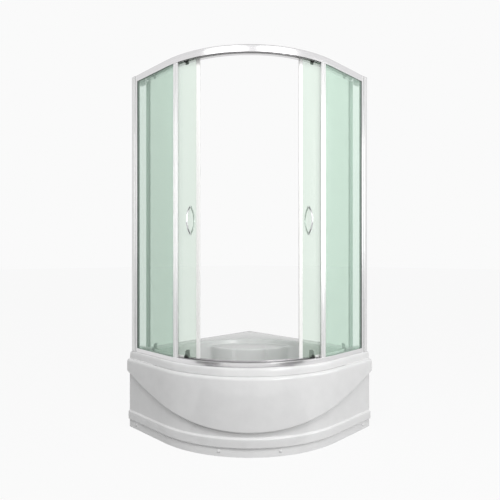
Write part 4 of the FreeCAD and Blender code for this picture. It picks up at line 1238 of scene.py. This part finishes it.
@dataclass
class Apron:
    """The moulded front panel: kick strip, ledge, recessed face and the belly over its swoosh.

    Attributes:
        face: radius of the kick strip and of the recessed face.
        ledge: radius of the ledge.
        belly: radius of the belly.
        ledge_low: height of the ledge's foot.
        ledge_high: height of its top edge.
        swoosh_radius: radius of the swoosh line, seen from the front.
        swoosh_low: its lowest height, in the middle.
        shoulder: depth and height of the belly's rounded top.
        screw_angle: of the two middle screws.
        screw_gap: distance of the outer screws from the straight sides.
        screw_z: their height.
        cap: radius and rise of the caps over the screws.
        cap_hollow: radius and height of the hollow in a cap.
        cap_gap: gap between the panel and a cap.
        wall: thickness of the moulding.
        end_gap: clearance of its ends, which the thickness spreads into.
    """

    face: float = 615.0
    ledge: float = 623.0
    belly: float = 632.0
    ledge_low: float = 45.0
    ledge_high: float = 91.5
    swoosh_radius: float = 1300.0
    swoosh_low: float = 120.5
    shoulder: Point = (14.0, 17.0)
    screw_angle: float = 13.8
    screw_gap: float = 71.0
    screw_z: float = 26.0
    cap: Point = (8.4, 5.3)
    cap_hollow: Point = (4.4, 2.4)
    cap_gap: float = 0.1
    wall: float = 4.0
    end_gap: float = 0.8

    def build(self) -> None:
        """Make the panel with its fixings."""
        steps = 16
        run = [45.0 + (FLAT_RUN - self.end_gap) * i / steps for i in range(1, steps + 1)]
        marks = [-mark for mark in reversed(run)] + front_marks(-45.0, 45.0, 1.0) + run
        rings = [[FRONT @ Vector((*front_point(radius, mark), z)) for radius, z in self.section(mark)]
                 for mark in marks]
        panel = skin("apron_moulding", rings, capped=False, looped=False)
        dress(thickened(panel, self.wall, (1.0, -1.0, 0.0)), Surface.ACRYLIC, "front_apron", crease=40.0)
        self.caps()
        dress_refined("apron_brackets", 0.4, Surface.ZINC)
        dress_refined("apron_screws", 0.2, Surface.ZINC)

    def section(self, mark: float) -> Outline:
        """Radius and height of the panel's face at a mark, from the floor up.

        Args:
            mark: where along the front, as front_point takes it.

        Returns:
            The open outline, with the same number of points at every mark.
        """
        across = front_point(self.belly, mark)[0]
        edge = self.swoosh_low + self.swoosh_radius - math.sqrt(self.swoosh_radius ** 2 - across ** 2)
        face, ledge, belly = self.face, self.ledge, self.belly
        low, high = self.ledge_low, self.ledge_high
        top = heights("front_apron")[1]
        deep, tall = self.shoulder
        foot = [(face, 0.5), (face, low * 0.5), (face, low - 4.5), (face - 1.0, low - 3.6),
                (face - 1.0, low - 1.0), (face + 0.8, low), (ledge - 2.2, low + 0.4),
                (ledge - 0.6, low + 1.4), (ledge, low + 3.4), (ledge, low + 8.0),
                (ledge, (low + high) / 2), (ledge, high - 8.0), (ledge - 0.5, high - 4.6),
                (ledge - 2.2, high - 1.8), (ledge - 4.8, high), (face + 1.0, high + 1.2), (face, high + 3.0),
                (face, high + 7.0)]
        under = [(belly - 5.5 + 5.5 * math.sin(turn), edge + 5.5 - 5.5 * math.cos(turn))
                 for turn in quarter(5)]
        step = [(face, (high + edge - 1.0) / 2), (face, edge - 9.0), (face - 1.2, edge - 7.6),
                (face - 1.2, edge - 1.2), (face + 1.5, edge), *under, (belly, edge + 12.0)]
        waist = top - tall
        rise = [(belly, edge + 12.0 + (waist - edge - 12.0) * share) for share in (0.33, 0.66, 1.0)]
        crown = [(belly - deep + deep * math.cos(turn), waist + tall * math.sin(turn))
                 for turn in quarter(7)[1:]]
        return foot + step + rise + crown + [(face, top)]

    def screw_places(self) -> list[Matrix]:
        """Where the four kick strip screws sit, z pointing out of the face."""
        lift = Matrix.Translation((0.0, 0.0, self.screw_z))
        tip = Matrix.Rotation(math.radians(90.0), 4, "X")
        places = []
        for side in (-1.0, 1.0):
            out = Matrix.Translation((0.0, -self.face, 0.0))
            places.append(turned(FRONT, side * self.screw_angle) @ lift @ out @ tip)
            x, y = front_point(self.face, side * (END_MARK - self.screw_gap))
            spot = turned(FRONT @ Matrix.Translation((x, y, 0.0)), 45.0 * side)
            places.append(spot @ lift @ tip)
        return places

    def caps(self) -> None:
        """Domed push-fit caps over the four screws."""
        (radius, rise), (bore, top), gap = self.cap, self.cap_hollow, self.cap_gap
        dome = [(radius * math.cos(turn), gap + rise * math.sin(turn)) for turn in quarter(6)]
        hollow = [(0.0, top), (bore, top), (bore, gap)]
        pattern = spun("cap_pattern", dome + hollow, Matrix.Scale(MM, 4), 24)
        piece = grown("domed_screw_caps", fastener_tree(Surface.ACRYLIC), {"Part": pattern, "Size": 1.0},
                      turned_points("cap_points", self.screw_places()))
        bpy.data.objects.remove(pattern)
        dress(piece, Surface.ACRYLIC, "apron_screw_caps")


# ---------------------------------------------------------------- doors

@dataclass
class Doors:
    """The two sliding doors: curved panes, seals, handles, hangers, clamps, slides and wheels.

    Attributes:
        glass: inner radius of the panes.
        thickness: of the glass.
        seal_start: angle where the leading seal begins.
        seal_width: degrees that it covers.
        end: angle where the trailing seal ends.
        glass_inset: degrees from the leading seal's start and the trailing seal's end to the glass.
        wiper_width: degrees that the trailing seal covers.
        handle_angle: where the handles stand.
        handle_rise: how far a bow stands off the glass.
        handle_span: height of a bow on the glass.
        foot_gap: gap between the glass and a bow's feet.
        rod: radius of the bow's bar.
        wheel: radius of the wheels.
        bore: radius of their bores.
        wheel_width: their width.
        web: radii where the recess in a wheel's sides begins, is at its depth, rises and ends.
        web_depth: depth of that recess.
        groove: half width and depth of the running groove.
    """

    glass: float = 570.0
    thickness: float = 5.0
    seal_start: float = 0.3
    seal_width: float = 1.9
    end: float = 45.5
    glass_inset: Point = (1.1, 1.0)
    wiper_width: float = 2.9
    handle_angle: float = 5.8
    handle_rise: float = 30.0
    handle_span: float = 132.0
    foot_gap: float = 0.3
    rod: float = 4.3
    wheel: float = 9.5
    bore: float = 2.56
    wheel_width: float = 3.2
    web: tuple[float, float, float, float] = (4.4, 5.0, 8.0, 8.5)
    web_depth: float = 0.5
    groove: Point = (0.7, 0.5)

    def build(self) -> None:
        """Make every piece of both doors."""
        dress_pair(self.pane(), Surface.DOOR_GLASS, "door_glass", "door_*")
        dress_pair(self.seal("leading_seal", self.seal_start, self.seal_width, True), Surface.SEAL,
                   "magnetic_seal", "door_*")
        dress_pair(self.seal("trailing_wiper", self.end, self.wiper_width, False), Surface.WIPER,
                   "trailing_seal", "door_*")
        for stem, width, surface in (("drip_strip", 0.2, Surface.SEAL), ("top_hangers", 0.5, Surface.NYLON),
                                     ("bottom_clamps", 0.5, Surface.NYLON)):
            dress_pair(refined(f"{stem}_left", width), surface, stem, "door_*")
        self.handles()
        for end, angle in (("leading", WHEELS.leading), ("trailing", WHEELS.trailing)):
            stem = f"{end}_release_slide"
            dress_pair(refined(f"{stem}_left", 0.35), Surface.NYLON, stem, f"{stem}_*")
            for level in ("top", "bottom"):
                stem = f"{end}_{level}_wheel"
                dress_pair(self.roller(stem, angle), Surface.ACETAL, stem, f"{stem}_*")

    def pane(self) -> Piece:
        """The left door's pane, its edges ground."""
        leading, trailing = self.glass_inset
        marks = front_marks(self.seal_start + leading, self.end - trailing, PANE_STEP)
        radii = (self.glass, self.glass + self.thickness)
        return sheet("door_pane_left", "door_glass_left", radii, marks, GROUND_EDGE, DOOR)

    def seal(self, name: str, edge: float, width: float, leading: bool) -> Piece:
        """A push-on seal: two lips over the glass, and beyond its edge a bulb or a fin.

        Args:
            name: the new object's stem.
            edge: angle of the seal's outer face.
            width: degrees that the seal covers.
            leading: whether it is the bulb on the leading edge; the trailing one has a fin.

        Returns:
            The left door's seal.
        """
        node = "magnetic_seal_left" if leading else "trailing_seal_left"
        inner, outer = self.glass - 1.5, self.glass + self.thickness + 1.5
        sign = 1.0 if leading else -1.0
        slot, stop = edge + sign * 1.05, edge + sign * width
        tip = [(outer, edge)] if leading else [(outer + 9.6, edge), (outer + 9.6, edge - 0.13),
                                               (outer + 0.8, edge - 0.15), (outer, edge - 0.4)]
        loop = [(inner, edge), *tip, (outer, slot), (outer - 0.4, stop), (outer - 1.45, stop),
                (outer - 1.45, slot), (inner + 1.45, slot), (inner + 1.45, stop), (inner + 0.4, stop),
                (inner, slot)]
        rounding = [1.6] + ([1.6] if leading else [0.4, 0.4, 0.6, 0.3]) + [0.0] + [0.3] * 6 + [0.0]
        plan = softened([arc_point(r, a) for r, a in loop], rounding, 4)
        return upright(f"{name}_left", plan, node, DOOR)

    def handles(self) -> None:
        """Chrome bows outside and inside both doors, each on two round feet."""
        half = self.handle_span / 2.0
        bow = (self.handle_rise ** 2 + half ** 2) / (self.handle_rise * 2.0)
        low, high = heights("handle_outer_left")
        stand = turned(DOOR, self.handle_angle) @ Matrix.Translation((0.0, 0.0, (low + high) / 2.0))
        tree = bow_tree()
        front, back = self.glass + self.thickness + self.foot_gap, self.glass - self.foot_gap
        for name, face, out in (("outer", front, -1.0), ("inner", back, 1.0)):
            bar = grown(f"{name}_bow", tree, {
                "Bow Radius": bow * MM, "Half Angle": math.atan2(half, bow - self.handle_rise),
                "Rod Radius": self.rod * MM, "End Share": 0.72})
            lie = Matrix(((0, 0, out, 0), (out, 0, 0, 0), (0, 1, 0, 0), (0, 0, 0, 1)))
            centre = Matrix.Translation((0.0, -face + out * (self.handle_rise - bow), 0.0))
            bar.data.transform(stand @ centre @ lie @ Matrix.Scale(1.0 / MM, 4))
            feet = [bar]
            for level in (-half, half):
                turn = Matrix.Rotation(math.radians(-90.0 * out), 4, "X")
                spot = stand @ Matrix.Translation((0.0, -face, level)) @ turn
                profile = softened([(0.0, 0.0), (5.6, 0.0), (5.6, 1.4), (3.4, 2.6), (0.0, 2.6)],
                                   [0.0, 0.2, 0.5, 0.4, 0.0], 2)
                feet.append(spun(f"{name}_foot", profile, spot, 24))
            handle = joined(f"bow_handle_{name}_left", feet)
            dress_pair(handle, Surface.CHROME, f"handle_{name}", "door_*", 40.0)

    def roller(self, stem: str, angle: float) -> Piece:
        """One wheel with a shallow running groove and a raised hub.

        Args:
            stem: the wheel's name without its side.
            angle: where it sits on the shut door.

        Returns:
            The left door's wheel.
        """
        half, outer, bore = self.wheel_width / 2.0, self.wheel, self.bore
        (hub, inner, outside, rim), web, (wide, deep) = self.web, half - self.web_depth, self.groove
        side = [(bore, half), (hub, half), (inner, web), (outside, web), (rim, half), (outer, half)]
        profile = softened(
            [(radius, -z) for radius, z in side] + [(outer, -wide), (outer - deep, 0.0), (outer, wide)]
            + side[::-1], [0.15] * 5 + [0.35] + [0.2] * 3 + [0.35] + [0.15] * 5, 2)
        z = middle(f"{stem}_left").z / MM
        place = (turned(DOOR, angle) @ Matrix.Translation((0.0, -WHEELS.path, z))
                 @ Matrix.Rotation(math.radians(90.0), 4, "X"))
        return spun(f"{stem}_turned_left", profile, place, 48)


# ---------------------------------------------------------------- under the tray

@dataclass
class Underparts:
    """Welded frame, levelling legs and the waste set.

    Attributes:
        drain_y: the drain's place on the footprint's diagonal.
        drain: radius of the drain.
        cover_lap: how far the cover reaches past the drain.
        cover_edge: height of the cover's upright edge.
    """

    drain_y: float = -330.0
    drain: float = 45.0
    cover_lap: float = 6.0
    cover_edge: float = 1.6

    def build(self) -> None:
        """Make the frame, feet, nuts and the waste set."""
        for node, width, surface in (
            ("tray_support_frame", 0.8, Surface.ZINC), ("leg_nuts", 0.5, Surface.ZINC),
            ("levelling_feet", 0.6, Surface.NYLON), ("waste_gasket", 0.5, Surface.RUBBER),
            ("trap_body", 0.8, Surface.PIPE), ("waste_flange", 0.3, Surface.CHROME),
        ):
            dress_refined(node, width, surface)
        self.cover()

    def cover(self) -> None:
        """The domed chrome cover over the drain."""
        low, high = heights("waste_cover")
        outer, edge = self.drain + self.cover_lap, self.cover_edge
        top = [(outer * math.sin(turn), low + edge + (high - low - edge) * math.cos(turn))
               for turn in quarter(10)]
        under = [(outer, low), (outer - 1.5, low), (0.0, low)]
        place = FRONT @ Matrix.Translation((0.0, self.drain_y, 0.0))
        dress(spun("domed_waste_cover", top + under, place, 56), Surface.CHROME, "waste_cover")


# ---------------------------------------------------------------- studio

def plain_view(tree: bpy.types.NodeTree) -> bpy.types.NodeSocket:
    """A switch that is one for the camera, mirrors and glass, and zero for diffuse light.

    Args:
        tree: a shader tree.

    Returns:
        The socket that carries it.
    """
    rays = add(tree, "ShaderNodeLightPath")
    seen = rays.outputs["Is Camera Ray"]
    for kind in ("Is Glossy Ray", "Is Transmission Ray"):
        seen = add(tree, "ShaderNodeMath", {"operation": "MAXIMUM"}, {
            0: seen, 1: rays.outputs[kind]}).outputs["Value"]
    return seen


@dataclass
class Studio:
    """Floor, lamps, world and the camera on the diagonal of the footprint, in metres.

    Attributes:
        lens_mm: focal length of the camera.
        distance: level distance of the camera from the square corner.
        height: of the camera.
        shift: sideways and upward shift of its lens.
        floor_reach: half width of the floor.
        floor_white: how much of the floor's look is plain white instead of lit paint.
        room: strength of the even light from all round.
        backdrop: what the camera sees behind the object.
        ceiling: height and half width of the ceiling card.
    """

    lens_mm: float = 33.53
    distance: float = 3.2674
    height: float = 0.9388
    shift: Point = (0.001, 0.016)
    floor_reach: float = 40.0
    floor_white: float = 0.93
    room: float = 0.3
    backdrop: str = "#fafafa"
    ceiling: Point = (3.7, 2.2)

    def build(self) -> None:
        """Make everything round the object."""
        self.camera()
        self.floor()
        self.lamps()
        self.flags()
        self.world()
        bpy.context.scene.view_settings.view_transform = "Standard"

    def camera(self) -> None:
        """Level camera facing the square corner from the open front."""
        data = bpy.data.cameras.new("camera")
        data.lens = self.lens_mm
        data.shift_x, data.shift_y = self.shift
        camera = object_of("camera", data)
        corner = Vector((-HALF_SQUARE, HALF_SQUARE, 0.0)) * MM
        away = Vector((ROOT_HALF, -ROOT_HALF, 0.0)) * self.distance
        camera.location = corner + away + Vector((0.0, 0.0, self.height))
        camera.rotation_euler = (math.pi / 2, 0.0, math.pi / 4)
        bpy.context.scene.camera = camera

    def floor(self) -> None:
        """A wide floor: white to the camera and to mirrors, and it keeps the object's shadow."""
        material = blank_material("pale_floor")
        tree = material.node_tree
        paint = add(tree, "ShaderNodeBsdfDiffuse", {}, {"Color": linear("#b4b4b4")})
        white = add(tree, "ShaderNodeEmission", {}, {"Color": (1.0, 1.0, 1.0, 1.0)})
        share = add(tree, "ShaderNodeMath", {"operation": "MULTIPLY"}, {
            0: plain_view(tree), 1: self.floor_white})
        mix = add(tree, "ShaderNodeMixShader", {}, {
            0: share.outputs["Value"], 1: paint.outputs["BSDF"], 2: white.outputs["Emission"]})
        add(tree, "ShaderNodeOutputMaterial", {}, {"Surface": mix.outputs["Shader"]})
        self.card("studio_floor", self.square(self.floor_reach, 0.0), material)

    def card(self, name: str, corners: Sequence[Point3], material: bpy.types.Material) -> Piece:
        """A flat sheet of one material.

        Args:
            name: its name.
            corners: its four corners in metres.
            material: its material.

        Returns:
            The new object.
        """
        mesh = bpy.data.meshes.new(name)
        mesh.from_pydata(corners, [], [(0, 1, 2, 3)])
        mesh.materials.append(material)
        return object_of(name, mesh)

    def square(self, reach: float, height: float) -> list[Point3]:
        """The corners of a level square about the origin."""
        return [(x * reach, y * reach, height) for x, y in ((-1, -1), (1, -1), (1, 1), (-1, 1))]

    def lamps(self) -> None:
        """Two soft boxes that the rails mirror, a high lamp in front, and lamps from the right and left."""
        for name, azimuth, distance, height, size, power in (
            ("soft_box_left", -22.5, 4.1, 3.35, (2.9, 1.0), 15.0),
            ("soft_box_right", 26.5, 4.1, 3.35, (2.7, 1.0), 13.0),
            ("high_lamp", 0.0, 2.6, 3.4, (2.4, 0.8), 70.0),
            ("front_lamp", 30.0, 4.2, 1.7, (1.6, 1.6), 40.0),
            ("side_lamp_right", 72.0, 3.4, 1.6, (1.6, 2.0), 21.0),
            ("side_lamp_left", -72.0, 3.4, 1.6, (1.6, 2.0), 6.0),
        ):
            data = bpy.data.lights.new(name, "AREA")
            data.shape = "RECTANGLE"
            data.size, data.size_y = size
            data.energy = power
            lamp = object_of(name, data)
            lamp.location = self.around(azimuth, distance, height)
            lamp.visible_glossy = name != "high_lamp"
            aim = Vector((0.0, 0.0, 0.5 if name == "high_lamp" else 0.9)) - lamp.location
            lamp.rotation_euler = aim.to_track_quat("-Z", "Y").to_euler()

    def around(self, azimuth: float, distance: float, height: float) -> Vector:
        """A point round the axis of the curved front, degrees to the right of the camera."""
        point = FRONT @ Matrix.Rotation(math.radians(azimuth), 4, "Z") @ Vector((0.0, -distance / MM, 0.0))
        return Vector((point.x, point.y, height))

    def flags(self) -> None:
        """Cards off camera: a grey ceiling for the light, dark and pale ones that only mirrors see."""
        felts = {}
        for tone, colour in (("pale", "#a8a8a8"), ("grey", "#6c6c6c"), ("dark", "#101010")):
            felts[tone] = blank_material(f"{tone}_felt")
            felt = add(felts[tone].node_tree, "ShaderNodeBsdfDiffuse", {}, {"Color": linear(colour)})
            add(felts[tone].node_tree, "ShaderNodeOutputMaterial", {}, {"Surface": felt.outputs["BSDF"]})
        ceiling, reach = self.ceiling
        cards = [("ceiling_card", "grey", self.square(reach, ceiling)),
                 ("overhead_flag", "dark", self.sector(50.0, 0.72, 3.0, 3.65)),
                 ("inner_flag", "dark", self.sector(60.0, 0.1, 0.5, 2.0)),
                 ("floor_flag", "dark", self.sector(40.0, 0.85, 2.1, 0.01))]
        for name, start, stop in (("low_flag_left", -50.0, -26.0), ("low_flag_right", 26.0, 50.0)):
            cards.append((name, "pale", [tuple(self.around(angle, 2.3, z)) for angle, z in (
                (start, 0.02), (stop, 0.02), (stop, 0.8), (start, 0.8))]))
        for name, tone, corners in cards:
            card = self.card(name, corners, felts[tone])
            card.visible_camera = False
            card.visible_transmission = False
            card.visible_shadow = card.visible_diffuse = name == "ceiling_card"
            card.visible_glossy = name != "ceiling_card"

    def sector(self, spread: float, near: float, far: float, height: float) -> list[Point3]:
        """The corners of a level card between two distances from the axis, as wide to either side."""
        return [tuple(self.around(angle, reach, height)) for angle, reach in (
            (-spread, near), (spread, near), (spread, far), (-spread, far))]

    def world(self) -> None:
        """A plain soft room: a white backdrop to the camera, mirrors and glass, plain light to the rest."""
        world = bpy.data.worlds.new("studio_world")
        world.use_nodes = True
        tree = world.node_tree
        tree.nodes.clear()
        room = add(tree, "ShaderNodeBackground", {}, {"Color": (1.0, 1.0, 1.0, 1.0), "Strength": self.room})
        white = add(tree, "ShaderNodeBackground", {}, {"Color": linear(self.backdrop), "Strength": 1.0})
        mix = add(tree, "ShaderNodeMixShader", {}, {
            0: plain_view(tree), 1: room.outputs["Background"], 2: white.outputs["Background"]})
        add(tree, "ShaderNodeOutputWorld", {}, {"Surface": mix.outputs["Shader"]})
        bpy.context.scene.world = world


def main() -> None:
    """Build every sub-assembly in order, then the studio."""
    logging.basicConfig(level=logging.INFO, format="%(message)s")
    for part in (Tray(), Apron(), Rails(), FixedPanels(), Doors(), Underparts()):
        part.build()
        LOG.info("built %s", type(part).__name__)
    Studio().build()
    bpy.context.view_layer.update()


if __name__ == "__main__":
    main()
